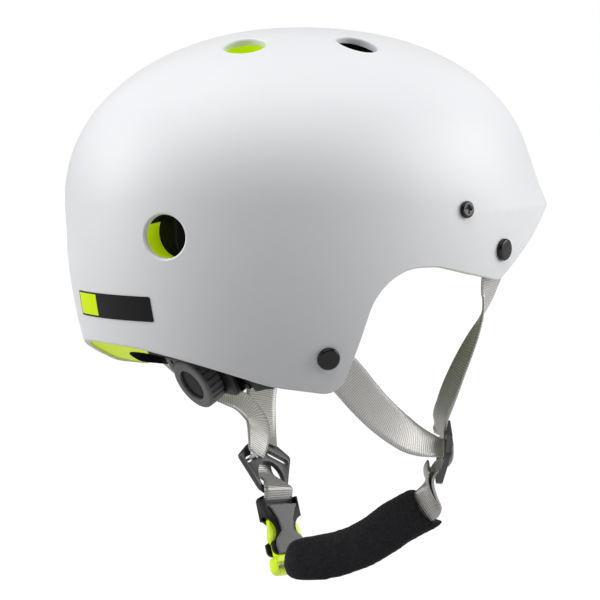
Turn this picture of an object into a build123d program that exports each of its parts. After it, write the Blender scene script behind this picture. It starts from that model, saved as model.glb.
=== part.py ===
"""Water-sports helmet: shell, foam liner, pads, dial cradle, harness, buckle and chin pad.

Millimetres. +Z is up, the wearer looks along -Y and the wearer's right is -X. The origin is on
the plane of symmetry, at the underside of the crown pad, where the top of the head sits.
"""

import os
from math import cos, pi, radians, sin, sqrt, tan

from build123d import *

os.makedirs("parts", exist_ok=True)

# Shell: half sizes of the dome above and below its widest level, the belt line
crown_height = 93.8
half_width = 110.0
front_reach = 138.5
rear_reach = 137.8
lower_wall_drop = 189.0
dome_power = 2.107
front_power = 2.25
brim_flare = 12.5
brim_start = 30.0
brim_height = 34.0
shell_wall = 3.0

# Rim of the shell in side view, in distances ahead of the ears' axis and above the belt line
rear_rim = -72.0
ear_flap_reach = 42.0
ear_flap_drop = 98.0
ear_flap_radius = 9.0
ear_arch_rear = 27.5
ear_arch_rise = 32.0
ear_arch_radius = 30.0
temple_reach = 57.0
temple_drop = 42.5
temple_radius = 9.0
brow_reach = 114.0
brow_drop = 6.0
brow_radius = 50.0
front_rim = 6.0

# Lining
seat_gap = 0.3
liner_thickness = 18.0
liner_setback = 1.5
pad_thickness = 9.0
pad_draft = 12.0
crown_pad_radius = 31.0
brow_pad_width = 120.0
brow_pad_height = 15.0
brow_pad_rise = 5.5
rear_pad_width = 62.0
rear_pad_height = 40.0
rear_pad_rise = -18.0
side_pad_length = 70.0
side_pad_height = 32.0
side_pad_rise = 27.0
side_pad_back = 8.0
pad_corner = 7.0

# Vents
vent_diameter = 22.5
vent_lip = 1.6
vent_lip_angle = 35.0
vent_collar_wall = 1.6
vent_collar_depth = 1.5
rear_vent_side = 49.0
rear_vent_rise = -15.0
crown_vent_side = 27.0
crown_vent_back = 58.0
top_vent_side = 48.0
brow_vent_side = 46.0
brow_vent_rise = 24.0

# Fasteners
rivet_cap_radius = 6.0
rivet_cap_height = 2.4
rivet_shank_radius = 2.5
rivet_back_thickness = 1.2
front_rivet = (57.5, -25.5)
rear_rivet = (-51.5, -77.5)
temple_screw = (26.0, -3.0)
screw_head_radius = 4.5
screw_head_height = 2.0
screw_shank_radius = 2.0
post_radius = 3.2
post_flange_radius = 6.0
post_flange_thickness = 1.4
head_seat = 0.15
fit_gap = 0.3
running_gap = 0.05

# Webbing
webbing_width = 20.0
webbing_thickness = 1.4
strap_tail = 9.0
strap_dip = 1.5

# Cradle behind the nape
cradle_thickness = 2.0
cradle_band = 14.0
cradle_power = 4.0
cradle_tilt = 30.0
cradle_side_gap = 5.2
nape_reach = 62.0
nape_drop = 92.0
nape_narrowing = 13.5
nape_band_radius = 8.0
wing_reach = 6.0
wing_drop = 12.5
cradle_hole_radius = 1.3
cradle_hole_out = 41.0
band_start = 27.5
rack_tail = 14.0
arm_travel = 6.5
pinion_radius = 4.0
pinion_teeth = 8
pinion_length = 3.4
pinion_shaft_radius = 3.0
tooth_width = 1.1
tooth_clearance = 0.3
tooth_reach = 0.9
rack_back = 3.0
rack_thickness = 1.8
housing_length = 52.0
housing_height = 23.0
housing_wall = 2.0
housing_cavity = 5.6
knob_diameter = 30.0
knob_depth = 10.0
knob_ribs = 24
knob_recess_diameter = 18.5
knob_recess_depth = 2.4

# Strap dividers
divider_width = 42.0
divider_height = 31.0
divider_thickness = 3.0
divider_slot_length = 17.0
divider_slot_width = 3.6
divider_slot_angle = 22.0
divider_slot_out = 9.8
divider_slot_up = 7.0
divider_opening_radius = 10.5
divider_opening_drop = 6.0
divider_bar = 4.5

# Buckle
buckle_width = 23.5
buckle_length = 36.0
buckle_thickness = 8.6
buckle_plate = 2.1
buckle_head = 13.0
buckle_bar = 2.8
buckle_slot = 4.2
buckle_bar_recess = 4.0
buckle_cover = 1.4
buckle_cover_waist = 8.4
buckle_waist = 12.8
buckle_notch_radius = 7.25
buckle_notch_up = 0.5
male_length = 11.0
male_gap = 0.3
prong_reach = 21.5
prong_width = 3.4
prong_thickness = 3.6
prong_travel = 2.0
shoulder_start = 7.5
shoulder_length = 13.0
shoulder_proud = -0.3
tongue_width = 4.0

# Chin pad
chin_pad_width = 27.0
chin_pad_thickness = 13.0
chin_pad_wall = 3.4
chin_pad_pocket = 14.0
chin_entry_width = 12.0

# Rear label
label_height = 13.0
label_thickness = 0.4
label_neon_width = 20.0
label_black_width = 38.0
label_left_end = 19.0
label_rise = -52.5

# Worked out from the sizes above
pad_face_inset = shell_wall + seat_gap + liner_thickness + seat_gap + pad_thickness
belt = pad_face_inset - crown_height
liner_outer = shell_wall + seat_gap
liner_inner = liner_outer + liner_thickness
pad_outer = liner_inner + seat_gap


def place(forward, right, rise):
    """A point given ahead of the ears, towards the wearer's right and above the belt line."""
    return Vector(-right, -forward, belt + rise)


def heading(forward, right, rise):
    """A direction in the same terms as place."""
    return Vector(-right, -forward, rise).normalized()


def on(plane, x, y, z):
    """A point given in a plane's own axes."""
    return plane.from_local_coords(Vector(x, y, z))


# Dome ------------------------------------------------------------------------------------------
def flare_at(rise, front_share):
    """How much wider the plan grows towards the brim at the front of the shell."""
    below = min(1.0, max(0.0, (brim_start - rise) / brim_height))
    return 1 + brim_flare / front_reach * below**2 * max(0.0, front_share) ** 2


def dome_section(inset, rise):
    """Points round the dome at one level, for a dome set in by inset from the outer face."""
    height = (crown_height if rise > 0 else lower_wall_drop) - inset
    level = min(1.0, abs(rise) / height)
    across = half_width - inset
    widest = across * sqrt(1 - level**2)
    points = []
    for step in range(dome_steps):
        angle = 2 * pi * step / dome_steps
        x = widest * sin(angle)
        reach = (front_reach if cos(angle) > 0 else rear_reach) - inset
        power = front_power if cos(angle) > 0 else dome_power
        rest = (1 - (x / across) ** 2) ** (power / 2) - level**power
        forward = reach * max(0.0, rest) ** (1 / power)
        forward = forward if cos(angle) > 0 else -forward
        grow = flare_at(rise, cos(angle))
        points.append(Vector(x * grow, -forward * grow, belt + rise))
    return points


def ring(points):
    """A closed smooth face through points, with the same spacing of parameters every time."""
    marks = [step / len(points) for step in range(len(points) + 1)]
    edge = Edge.make_spline(points, periodic=True, parameters=marks)
    return Face(Wire([edge]))


def dome(inset, bottom=-116.0):
    """Solid dome body set in by inset from the shell's outer face."""
    height = crown_height - inset
    low = [bottom, -98.0, -76.0, -50.0, -24.0]
    high = [height * sin(radians(angle)) for angle in (2, 14, 28, 42, 55, 67, 77, 85)]
    return Solid.make_loft([ring(dome_section(inset, rise)).outer_wire() for rise in low + high])


dome_steps = 16


def side_point(forward, rise, inset=0.0):
    """Point on the wearer's right side of the dome, at a place in side view."""
    height = (crown_height if rise > 0 else lower_wall_drop) - inset
    reach = (front_reach if forward > 0 else rear_reach) - inset
    power = front_power if forward > 0 else dome_power
    spread = abs(forward / reach) ** power + abs(rise / height) ** power
    right = (half_width - inset) * sqrt(1 - spread ** (2 / power))
    widest = (half_width - inset) * sqrt(1 - abs(rise / height) ** 2)
    front_share = sqrt(max(0.0, 1 - (right / widest) ** 2)) if forward > 0 else 0.0
    grow = flare_at(rise, front_share)
    return place(forward * grow, right * grow, rise)


def shell_side(forward, rise):
    """Point and outward normal on the wearer's right side of the shell, at a place in side view."""
    step = 0.01
    along = side_point(forward + step, rise) - side_point(forward - step, rise)
    upward = side_point(forward, rise + step) - side_point(forward, rise - step)
    normal = along.cross(upward).normalized()
    return side_point(forward, rise), normal if normal.X < 0 else -normal


def shell_end(right, rise, front):
    """Point and outward normal on the front or rear of the dome, at a place in end view."""
    height = crown_height if rise > 0 else lower_wall_drop
    reach = front_reach if front else rear_reach
    power = front_power if front else dome_power
    rest = (1 - (right / half_width) ** 2) ** (power / 2) - abs(rise / height) ** power
    forward = reach * rest ** (1 / power) * (1 if front else -1)
    return shell_side(forward, rise)


def shell_top(forward, right):
    """Point and outward normal on the top of the dome, at a place in plan view."""
    reach = front_reach if forward > 0 else rear_reach
    power = front_power if forward > 0 else dome_power
    rest = (1 - (right / half_width) ** 2) ** (power / 2) - abs(forward / reach) ** power
    rise = crown_height * rest ** (1 / power)
    _, normal = shell_side(forward, rise)
    return place(forward, right, rise), normal


# Rim in side view; sketched on Plane.YZ, where the local x is +Y, towards the wearer's back
far_out = 260.0
rim_corners = [
    (-far_out, rear_rim, 0),
    (-128.0, rear_rim, 40.0),
    (-75.0, rear_rim - 20.5, 60.0),
    (-ear_flap_reach, -ear_flap_drop, ear_flap_radius),
    (-ear_arch_rear, -ear_arch_rise, ear_arch_radius),
    (8.0, -ear_arch_rise - 0.5, 30.0),
    (temple_reach, -temple_drop, temple_radius),
    (brow_reach, -brow_drop, brow_radius),
    (far_out, front_rim, 0),
]


def below_rim(raised=0.0):
    """Everything lower than the rim, as a solid right across the helmet."""
    path = [(-forward, belt + rise) for forward, rise, _ in rim_corners]
    radii = [radius for _, _, radius in rim_corners[1:-1]]
    with BuildPart() as cutter:
        with BuildSketch(Plane.YZ) as outline:
            with BuildLine():
                edge = FilletPolyline(*path, radius=radii)
                Polyline(edge @ 1, (path[-1][0], -500), (path[0][0], -500), edge @ 0)
            make_face()
            if raised:
                offset(amount=raised)
        extrude(amount=far_out, both=True)
    return cutter.part


# Vents: one on each side of every place in this list
vent_places = [
    shell_end(rear_vent_side, rear_vent_rise, front=False),
    shell_end(brow_vent_side, brow_vent_rise, front=True),
    shell_top(-crown_vent_back, crown_vent_side),
    shell_top(0.5, top_vent_side),
]


def both_sides(places):
    """The places and their mirror images across the plane of symmetry."""
    mirrored = [
        (Vector(-point.X, point.Y, point.Z), Vector(-way.X, way.Y, way.Z)) for point, way in places
    ]
    return places + mirrored


def facing(places, depth=0.0):
    """A plane at each place on the shell, its z outwards, sunk by depth."""
    return [Plane(origin=point - normal * depth, z_dir=normal) for point, normal in places]


vents = both_sides(vent_places)
rivets = both_sides([shell_side(*front_rivet), shell_side(*rear_rivet)])
temples = both_sides([shell_side(*temple_screw)])


# Shell and lining ------------------------------------------------------------------------------
with BuildPart() as outer_shell:
    add(dome(0.0))
    add(below_rim(), mode=Mode.SUBTRACT)
    add(dome(shell_wall, -122.0), mode=Mode.SUBTRACT)
    with BuildSketch(*facing(vents, shell_wall / 2)):
        Circle(vent_diameter / 2 + vent_collar_wall)
    extrude(amount=-shell_wall / 2 - vent_collar_depth)
    with BuildSketch(*facing(vents, vent_lip)):
        Circle(vent_diameter / 2)
    extrude(amount=3 * vent_lip, taper=-vent_lip_angle, mode=Mode.SUBTRACT)
    with BuildSketch(*facing(vents, -shell_wall)):
        Circle(vent_diameter / 2)
    extrude(amount=-3 * shell_wall - vent_collar_depth, mode=Mode.SUBTRACT)
    with BuildSketch(*facing(rivets, -shell_wall)):
        Circle(rivet_shank_radius + running_gap)
    extrude(amount=-3 * shell_wall, mode=Mode.SUBTRACT)
    with BuildSketch(*facing(temples, -shell_wall)):
        Circle(screw_shank_radius + running_gap)
    extrude(amount=-3 * shell_wall, mode=Mode.SUBTRACT)
outer_shell.part.label = "outer_shell"

# Straps leave each rivet along these directions, across the webbing
front_strap_across = heading(1, 0, 0)
rear_strap_across = heading(-0.68, 0, -0.73)
strap_depth = shell_wall + 1.1 + webbing_thickness / 2
back_depth = strap_depth + webbing_thickness / 2 + 0.25


def strap_plane(spot, across, right_side=True):
    """Plane on the shell at a rivet: x across the webbing, y up it, z out of the shell."""
    point, normal = spot
    way = Vector(across.X if right_side else -across.X, across.Y, across.Z)
    upward = normal.cross(way)
    if upward.Z < 0:
        upward = -upward
    return Plane(origin=point, x_dir=upward.cross(normal), z_dir=normal)


strap_planes = {
    "front_right": strap_plane(rivets[0], front_strap_across),
    "rear_right": strap_plane(rivets[1], rear_strap_across),
    "front_left": strap_plane(rivets[2], front_strap_across, False),
    "rear_left": strap_plane(rivets[3], rear_strap_across, False),
}
strap_pocket = Vector(webbing_width + 2.0, 46.0, back_depth + strap_dip + rivet_back_thickness + 0.5)

with BuildPart() as foam_liner:
    add(dome(liner_outer, -122.0))
    add(below_rim(liner_setback), mode=Mode.SUBTRACT)
    add(dome(liner_inner, -128.0), mode=Mode.SUBTRACT)
    with BuildSketch(*facing(vents)):
        Circle(vent_diameter / 2 + vent_collar_wall + seat_gap)
    extrude(amount=-2 * liner_inner, mode=Mode.SUBTRACT)
    with BuildSketch(*facing(temples)):
        Circle(post_radius + seat_gap)
    extrude(amount=-1.3 * liner_inner, mode=Mode.SUBTRACT)
    with BuildSketch(*strap_planes.values()):
        with Locations((0, strap_tail + 1.5 - strap_pocket.Y / 2)):
            Rectangle(strap_pocket.X, strap_pocket.Y)
    extrude(amount=-strap_pocket.Z, mode=Mode.SUBTRACT)
foam_liner.part.label = "foam_liner"


# The space between the liner's inner face and the wearer's head
pad_layer = dome(pad_outer, -122.0) - dome(pad_face_inset, -128.0)

with BuildPart() as crown_pad:
    with BuildSketch(Plane.XY.offset(-pad_thickness)):
        Circle(crown_pad_radius)
    extrude(amount=3 * pad_thickness, taper=-pad_draft)
    add(pad_layer, mode=Mode.INTERSECT)
crown_pad.part.label = "crown_pad"

with BuildPart() as brow_pad:
    with BuildSketch(Plane.XZ.offset(front_reach - pad_face_inset - 3 * pad_thickness)):
        with Locations((0, belt + brow_pad_rise)):
            RectangleRounded(brow_pad_width, brow_pad_height, pad_corner)
    extrude(amount=6 * pad_thickness)
    add(pad_layer, mode=Mode.INTERSECT)
brow_pad.part.label = "brow_pad"

with BuildPart() as rear_pad:
    with BuildSketch(Plane.XZ.offset(pad_face_inset + pad_thickness - rear_reach)):
        with Locations((0, belt + rear_pad_rise)):
            RectangleRounded(rear_pad_width, rear_pad_height, pad_corner)
    extrude(amount=-4 * pad_thickness, taper=-pad_draft / 2)
    add(pad_layer, mode=Mode.INTERSECT)
rear_pad.part.label = "rear_pad"

with BuildPart() as side_pad_left:
    with BuildSketch(Plane.YZ.offset(half_width - pad_face_inset - 2 * pad_thickness)):
        with Locations((side_pad_back, belt + side_pad_rise)):
            RectangleRounded(side_pad_length, side_pad_height, pad_corner)
    extrude(amount=4 * pad_thickness, taper=-pad_draft / 2)
    add(pad_layer, mode=Mode.INTERSECT)
side_pad_left.part.label = "side_pad_left"

with BuildPart() as side_pad_right:
    mirror(side_pad_left.part, about=Plane.YZ)
side_pad_right.part.label = "side_pad_right"

with BuildPart() as rear_label:
    with BuildSketch(Plane.XZ.offset(-rear_reach - 10)):
        with Locations((label_left_end - (label_neon_width + label_black_width) / 2, belt + label_rise)):
            RectangleRounded(label_neon_width + label_black_width, label_height, 1.0)
    extrude(amount=rear_reach)
    skin = dome(-label_thickness - running_gap) - dome(-running_gap, -122.0)
    add(skin, mode=Mode.INTERSECT)
rear_label.part.label = "rear_label"

# Rivets and temple screws ----------------------------------------------------------------------
with BuildPart() as strap_rivet_caps:
    for plane in facing(rivets, -head_seat):
        with BuildSketch(plane):
            Circle(rivet_cap_radius)
        extrude(amount=rivet_cap_height)
        top = faces(Select.LAST).sort_by_distance(on(plane, 0, 0, 20))[0]
        fillet(top.edges(), rivet_cap_height * 0.6)
        with BuildSketch(plane):
            Circle(rivet_shank_radius)
        extrude(amount=-head_seat - back_depth - rivet_back_thickness)
strap_rivet_caps.part.label = "strap_rivet_caps"

with BuildPart() as strap_rivet_backs:
    with BuildSketch(*facing(rivets, back_depth)):
        Circle(rivet_cap_radius)
        Circle(rivet_shank_radius + running_gap, mode=Mode.SUBTRACT)
    extrude(amount=-rivet_back_thickness)
strap_rivet_backs.part.label = "strap_rivet_backs"

flange_depth = liner_inner + cradle_side_gap + cradle_thickness + 1.5
with BuildPart() as temple_screws:
    for plane in facing(temples, -head_seat):
        with BuildSketch(plane):
            Circle(screw_head_radius)
        extrude(amount=screw_head_height)
        top = faces(Select.LAST).sort_by_distance(on(plane, 0, 0, 20))[0]
        fillet(top.edges(), screw_head_height * 0.45)
        with BuildSketch(plane.offset(screw_head_height)):
            Rectangle(screw_head_radius, screw_head_radius / 5)
            Rectangle(screw_head_radius / 5, screw_head_radius)
        extrude(amount=-screw_head_height * 0.6, mode=Mode.SUBTRACT)
        with BuildSketch(plane):
            Circle(screw_shank_radius)
        extrude(amount=-liner_inner)
temple_screws.part.label = "temple_screws"

with BuildPart() as temple_posts:
    with BuildSketch(*facing(temples, liner_outer)):
        Circle(post_radius)
        Circle(screw_shank_radius + running_gap, mode=Mode.SUBTRACT)
    extrude(amount=liner_outer - flange_depth - 0.1)
    with BuildSketch(*facing(temples, flange_depth)):
        Circle(post_flange_radius)
    extrude(amount=-post_flange_thickness)
temple_posts.part.label = "temple_posts"

# Cradle ----------------------------------------------------------------------------------------
side_reach = half_width - liner_inner - cradle_side_gap


def nape_at(rise):
    """How far behind the ears the dial's tilted plane is at a height."""
    return nape_reach + (nape_drop + rise) * tan(radians(cradle_tilt))


cradle_levels = [
    (14.0, side_reach, nape_reach + 42.0),
    (-20.0, side_reach - 2.0, nape_reach + 35.0),
    (-50.0, side_reach - 5.0, nape_at(-50.0)),
    (-114.0, side_reach - 5.0 - nape_narrowing, nape_at(-114.0)),
]


def cradle_form(inset):
    """Squarish cone that the cradle arms are cut from, wrapped round the back of the head."""
    wires = []
    for rise, across, reach in cradle_levels:
        points = []
        for step in range(dome_steps):
            angle = 2 * pi * step / dome_steps
            x = (across - inset) * abs(sin(angle)) ** (2 / cradle_power)
            forward = (reach - inset) * abs(cos(angle)) ** (2 / cradle_power)
            x = x if sin(angle) > 0 else -x
            forward = forward if cos(angle) > 0 else -forward
            points.append(Vector(x, -forward, belt + rise))
        wires.append(ring(points).outer_wire())
    return Solid.make_loft(wires, ruled=True)


dial_way = heading(-cos(radians(cradle_tilt)), 0, -sin(radians(cradle_tilt)))
dial_plane = Plane(origin=place(-nape_reach, 0, -nape_drop), x_dir=(1, 0, 0), z_dir=dial_way)
tooth_pitch = 2 * pi * pinion_radius / pinion_teeth
rack_root = pinion_radius + tooth_reach + tooth_clearance
rack_tip = pinion_radius - tooth_reach + 0.1
arm_line = [temple_screw, (5.0, -22.0), (-25.0, -57.0), (-48.0, -83.0), (-60.0, -92.0)]
arm_room = housing_length / 2 + arm_travel + 1.0


def cradle_arm(rack_side):
    """The wearer's left arm, with its rack above (1) or below (-1) the pinion."""
    with BuildPart() as arm:
        add(cradle_form(0.0))
        add(cradle_form(cradle_thickness), mode=Mode.SUBTRACT)
        with BuildSketch(Plane.YZ):
            with BuildLine():
                route = [(-forward, belt + rise) for forward, rise in arm_line]
                FilletPolyline(*route, radius=20.0)
            trace(line_width=cradle_band)
            with Locations(route[0]):
                Circle(cradle_band / 2)
            with Locations((nape_reach - 1.0, belt - nape_drop)):
                Circle(nape_band_radius)
            with Locations((nape_reach - wing_reach / 2, belt - nape_drop - wing_drop / 2)):
                Rectangle(wing_reach, wing_drop)
        extrude(amount=half_width, both=True, mode=Mode.INTERSECT)
        with Locations((-half_width / 2, 0, belt)):
            Box(half_width + 2 * band_start, 4 * half_width, 4 * half_width, mode=Mode.SUBTRACT)
        with BuildSketch(dial_plane):
            with Locations((arm_room - housing_height, -housing_height / 2 - nape_band_radius)):
                Rectangle(2 * housing_height, housing_height)
            with Locations((arm_room - housing_height, housing_height / 2 + nape_band_radius)):
                Rectangle(2 * housing_height, housing_height)
        extrude(amount=nape_reach / 2, both=True, mode=Mode.SUBTRACT)
        with BuildSketch(dial_plane):
            with Locations(((band_start + 4 - rack_tail) / 2, -rack_side * (rack_root + rack_back / 2))):
                Rectangle(band_start + 4 + rack_tail, rack_back)
            for tooth in range(-4, 5):
                middle = (tooth + 0.5) * tooth_pitch
                if middle - tooth_width > -rack_tail:
                    with BuildLine():
                        Polyline(
                            (middle - tooth_width * 0.7, -rack_side * (rack_root + 0.2)),
                            (middle - tooth_width * 0.35, -rack_side * rack_tip),
                            (middle + tooth_width * 0.35, -rack_side * rack_tip),
                            (middle + tooth_width * 0.7, -rack_side * (rack_root + 0.2)),
                            close=True,
                        )
                    make_face()
        extrude(amount=-rack_thickness)
        with BuildSketch(*facing(temples[1:])):
            Circle(post_radius + 0.6)
        extrude(amount=-2 * liner_inner, mode=Mode.SUBTRACT)
        with BuildSketch(Plane.XZ.offset(-nape_reach - 20)):
            with Locations((cradle_hole_out, belt - nape_drop + 1.0)):
                Circle(cradle_hole_radius)
        extrude(amount=60, mode=Mode.SUBTRACT)
    return arm.part


with BuildPart() as cradle_arm_left:
    add(cradle_arm(1))
cradle_arm_left.part.label = "cradle_arm_left"

with BuildPart() as cradle_arm_right:
    mirror(cradle_arm(-1), about=Plane.YZ)
cradle_arm_right.part.label = "cradle_arm_right"

# Dial, built outwards from the plane of the cradle's outer face
cavity_floor = -rack_thickness / 2 - housing_cavity / 2
cavity_roof = cavity_floor + housing_cavity
housing_split = -rack_thickness / 2
knob_base = cavity_roof + housing_wall + fit_gap
knob_face = knob_base + knob_depth
shaft_bore = pinion_shaft_radius + running_gap

with BuildPart() as dial_housing_base:
    with BuildSketch(dial_plane.offset(cavity_floor - housing_wall)):
        RectangleRounded(housing_length, housing_height, 6.0)
    extrude(amount=housing_split - cavity_floor + housing_wall)
    with BuildSketch(dial_plane.offset(cavity_floor)):
        Rectangle(housing_length + 2, housing_height - 2 * housing_wall)
    extrude(amount=housing_cavity, mode=Mode.SUBTRACT)
dial_housing_base.part.label = "dial_housing_base"

with BuildPart() as dial_housing_cover:
    with BuildSketch(dial_plane.offset(housing_split)):
        RectangleRounded(housing_length, housing_height, 6.0)
    extrude(amount=cavity_roof + housing_wall - housing_split, taper=6)
    with BuildSketch(dial_plane.offset(housing_split)):
        Rectangle(housing_length + 2, housing_height - 2 * housing_wall)
    extrude(amount=cavity_roof - housing_split, mode=Mode.SUBTRACT)
    with BuildSketch(dial_plane):
        Circle(shaft_bore)
    extrude(amount=housing_cavity + housing_wall, mode=Mode.SUBTRACT)
dial_housing_cover.part.label = "dial_housing_cover"

with BuildPart() as dial_pinion:
    with BuildSketch(dial_plane.offset(-rack_thickness / 2 - pinion_length / 2)):
        Circle(pinion_radius - tooth_reach - 0.5)
        with PolarLocations(0, pinion_teeth):
            with BuildLine():
                Polyline(
                    (1.5, -tooth_width * 0.65),
                    (pinion_radius + tooth_reach, -tooth_width * 0.35),
                    (pinion_radius + tooth_reach, tooth_width * 0.35),
                    (1.5, tooth_width * 0.65),
                    close=True,
                )
            make_face()
    extrude(amount=pinion_length)
    with BuildSketch(dial_plane.offset(-rack_thickness / 2)):
        Circle(pinion_shaft_radius)
    extrude(amount=knob_base + knob_depth / 2 + rack_thickness / 2)
dial_pinion.part.label = "dial_pinion"

with BuildPart() as dial_knob:
    with BuildSketch(dial_plane.offset(knob_base)):
        Circle(knob_diameter / 2)
    extrude(amount=knob_depth)
    outer = dial_knob.faces().sort_by_distance(dial_plane.origin + dial_plane.z_dir * 50)[0]
    fillet(outer.edges(), 1.6)
    with BuildSketch(dial_plane.offset(knob_base - 1)):
        with PolarLocations(knob_diameter / 2 + 0.5, knob_ribs):
            Circle(1.1)
    extrude(amount=knob_depth - 1.0, mode=Mode.SUBTRACT)
    with BuildSketch(dial_plane.offset(knob_face)):
        Circle(knob_recess_diameter / 2)
    extrude(amount=-knob_recess_depth, mode=Mode.SUBTRACT)
    with BuildSketch(dial_plane.offset(knob_base)):
        Circle(shaft_bore)
    extrude(amount=knob_depth / 2 + 0.4, mode=Mode.SUBTRACT)
dial_knob.part.label = "dial_knob"

with BuildPart() as dial_cap:
    with BuildSketch(dial_plane.offset(knob_face - knob_recess_depth)):
        Circle(knob_recess_diameter / 2 - 0.1)
    extrude(amount=knob_recess_depth * 0.5)
dial_cap.part.label = "dial_cap"

# Harness ---------------------------------------------------------------------------------------
divider_right = Plane(
    origin=place(39.3, 75.0, -137.0),
    x_dir=heading(0.574, -0.785, 0.238),
    z_dir=heading(0.82, 0.55, -0.165),
)
divider_left = Plane(
    origin=place(17.5, -59.7, -161.2),
    x_dir=heading(0.975, -0.155, -0.16),
    z_dir=heading(0.23, 0.84, 0.49),
)


def upright(plane):
    """The same plane with its y turned to point up the strap."""
    return plane if plane.y_dir.Z > 0 else Plane(plane.origin, -plane.x_dir, plane.z_dir)


divider_right = upright(divider_right)
divider_left = upright(divider_left)


def divider(plane):
    """Flat plate with two slots that lean together and a round-topped opening below them."""
    half = divider_width / 2
    top = divider_height / 2
    with BuildPart() as plate:
        with BuildSketch(plane):
            with BuildLine():
                Polyline(
                    (-half * 0.52, top),
                    (half * 0.52, top),
                    (half, top * 0.5),
                    (half * 0.52, -top * 0.82),
                    (half * 0.3, -top),
                    (-half * 0.3, -top),
                    (-half * 0.52, -top * 0.82),
                    (-half, top * 0.5),
                    close=True,
                )
            make_face()
            fillet(vertices(), 2.5)
            for side in (-1, 1):
                slot = (side * divider_slot_out, divider_slot_up, 0)
                with Locations(Location(slot, (0, 0, -side * divider_slot_angle))):
                    SlotOverall(divider_slot_length, divider_slot_width, mode=Mode.SUBTRACT)
            with BuildSketch(mode=Mode.PRIVATE) as opening:
                with Locations((0, -divider_opening_drop)):
                    Circle(divider_opening_radius)
                with Locations((0, -top - divider_opening_radius + divider_bar)):
                    Rectangle(4 * divider_opening_radius, 2 * divider_opening_radius, mode=Mode.SUBTRACT)
            add(opening.sketch, mode=Mode.SUBTRACT)
        extrude(amount=divider_thickness / 2, both=True)
    return plate.part


with BuildPart() as strap_divider_right:
    add(divider(divider_right))
strap_divider_right.part.label = "strap_divider_right"

with BuildPart() as strap_divider_left:
    add(divider(divider_left))
strap_divider_left.part.label = "strap_divider_left"


def webbing(stations, thickness=webbing_thickness):
    """Solid webbing through stations of (point, direction across it, width), in that order."""
    with BuildPart() as strip:
        last_across = stations[0][1]
        for index, (point, across, width) in enumerate(stations):
            before = stations[max(0, index - 1)][0]
            after = stations[min(len(stations) - 1, index + 1)][0]
            along = (after - before).normalized()
            across = (across - along * across.dot(along)).normalized()
            across = across if across.dot(last_across) > 0 else -across
            last_across = across
            with BuildSketch(Plane(origin=point, x_dir=across, z_dir=along)):
                Rectangle(width, thickness)
        loft(ruled=True)
    return strip.part


def rivet_end(plane, exit_length):
    """Stations of a strap's flat end under its rivet: tail, eyelet and where it leaves the shell."""
    across = plane.x_dir
    return [
        (on(plane, 0, strap_tail, -strap_depth), across, webbing_width),
        (on(plane, 0, -rivet_cap_radius - 1, -strap_depth), across, webbing_width),
        (on(plane, 0, -exit_length, -strap_depth - strap_dip), across, webbing_width),
    ]


def slot_end(plane, side, inner):
    """Stations of a strap passing through a divider's slot from its inner face to its outer."""
    turn = radians(divider_slot_angle)
    across = plane.x_dir * cos(turn) - plane.y_dir * (side * sin(turn))
    x, y = side * divider_slot_out, divider_slot_up
    width = divider_slot_length - 3.0
    face = divider_thickness / 2
    return [
        (on(plane, x, y, inner * 2 * face), across, width),
        (on(plane, x, y, inner * (face + 0.4)), across, width),
        (on(plane, x, y, -inner * (face + 0.3)), across, width),
    ]


def eyelet(plane):
    """Hole through a strap's end for its rivet."""
    with BuildPart() as hole:
        with BuildSketch(plane):
            Circle(rivet_shank_radius + fit_gap)
        extrude(amount=-3 * strap_depth)
    return hole.part


def free(forward, right, rise, across):
    """A station of webbing in the open, placed ahead of the ears and above the belt line."""
    return place(forward, right, rise), heading(*across), webbing_width


def front_side(plane):
    """Which side of a divider its front slot is on."""
    return 1 if plane.x_dir.Y < 0 else -1


front = front_side(divider_right)
with BuildPart() as rear_strap_right:
    add(
        webbing(
            rivet_end(strap_planes["rear_right"], 17.0)
            + [
                free(-18.4, 84.8, -105.1, (-0.75, -0.1, -0.65)),
                free(-1.4, 82.5, -117.6, (-0.82, 0.15, -0.55)),
                free(13.6, 81.3, -126.3, (-0.79, 0.31, -0.53)),
            ]
            + slot_end(divider_right, -front, -1)
        )
    )
    add(eyelet(strap_planes["rear_right"]), mode=Mode.SUBTRACT)
rear_strap_right.part.label = "rear_strap_right"

with BuildPart() as front_strap_right:
    add(
        webbing(
            rivet_end(strap_planes["front_right"], 17.0)
            + [
                free(57.0, 90.0, -54.5, (0.77, -0.64, -0.08)),
                free(47.0, 89.5, -73.2, (0.35, -0.93, -0.1)),
                free(40.2, 85.5, -90.8, (0.21, -0.97, -0.11)),
                free(36.5, 80.5, -106.9, (0.19, -0.98, -0.12)),
                free(36.0, 75.5, -118.0, (0.35, -0.93, -0.12)),
            ]
            + slot_end(divider_right, front, -1)
        )
    )
    add(eyelet(strap_planes["front_right"]), mode=Mode.SUBTRACT)
front_strap_right.part.label = "front_strap_right"



def over_divider(x, above, inwards):
    """A station just above the left divider's top edge, on its inner side."""
    return on(divider_left, x, divider_height / 2 + above, inwards), divider_left.x_dir, 17.0


front = front_side(divider_left)
with BuildPart() as rear_strap_left:
    add(
        webbing(
            rivet_end(strap_planes["rear_left"], 17.0)
            + [
                free(-12.0, -85.5, -108.3, (-0.66, 0.3, -0.62)),
                free(2.4, -81.0, -117.8, (-0.63, 0.62, -0.45)),
                free(10.6, -79.0, -121.7, (-0.66, 0.6, -0.42)),
                free(16.5, -75.5, -128.1, (-0.8, 0.49, -0.3)),
                free(19.0, -71.0, -135.0, (-0.9, 0.4, -0.12)),
                over_divider(-front * (divider_slot_out - 4), 2.0, 4.7),
            ]
            + slot_end(divider_left, -front, 1)
        )
    )
    add(eyelet(strap_planes["rear_left"]), mode=Mode.SUBTRACT)
rear_strap_left.part.label = "rear_strap_left"

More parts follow.
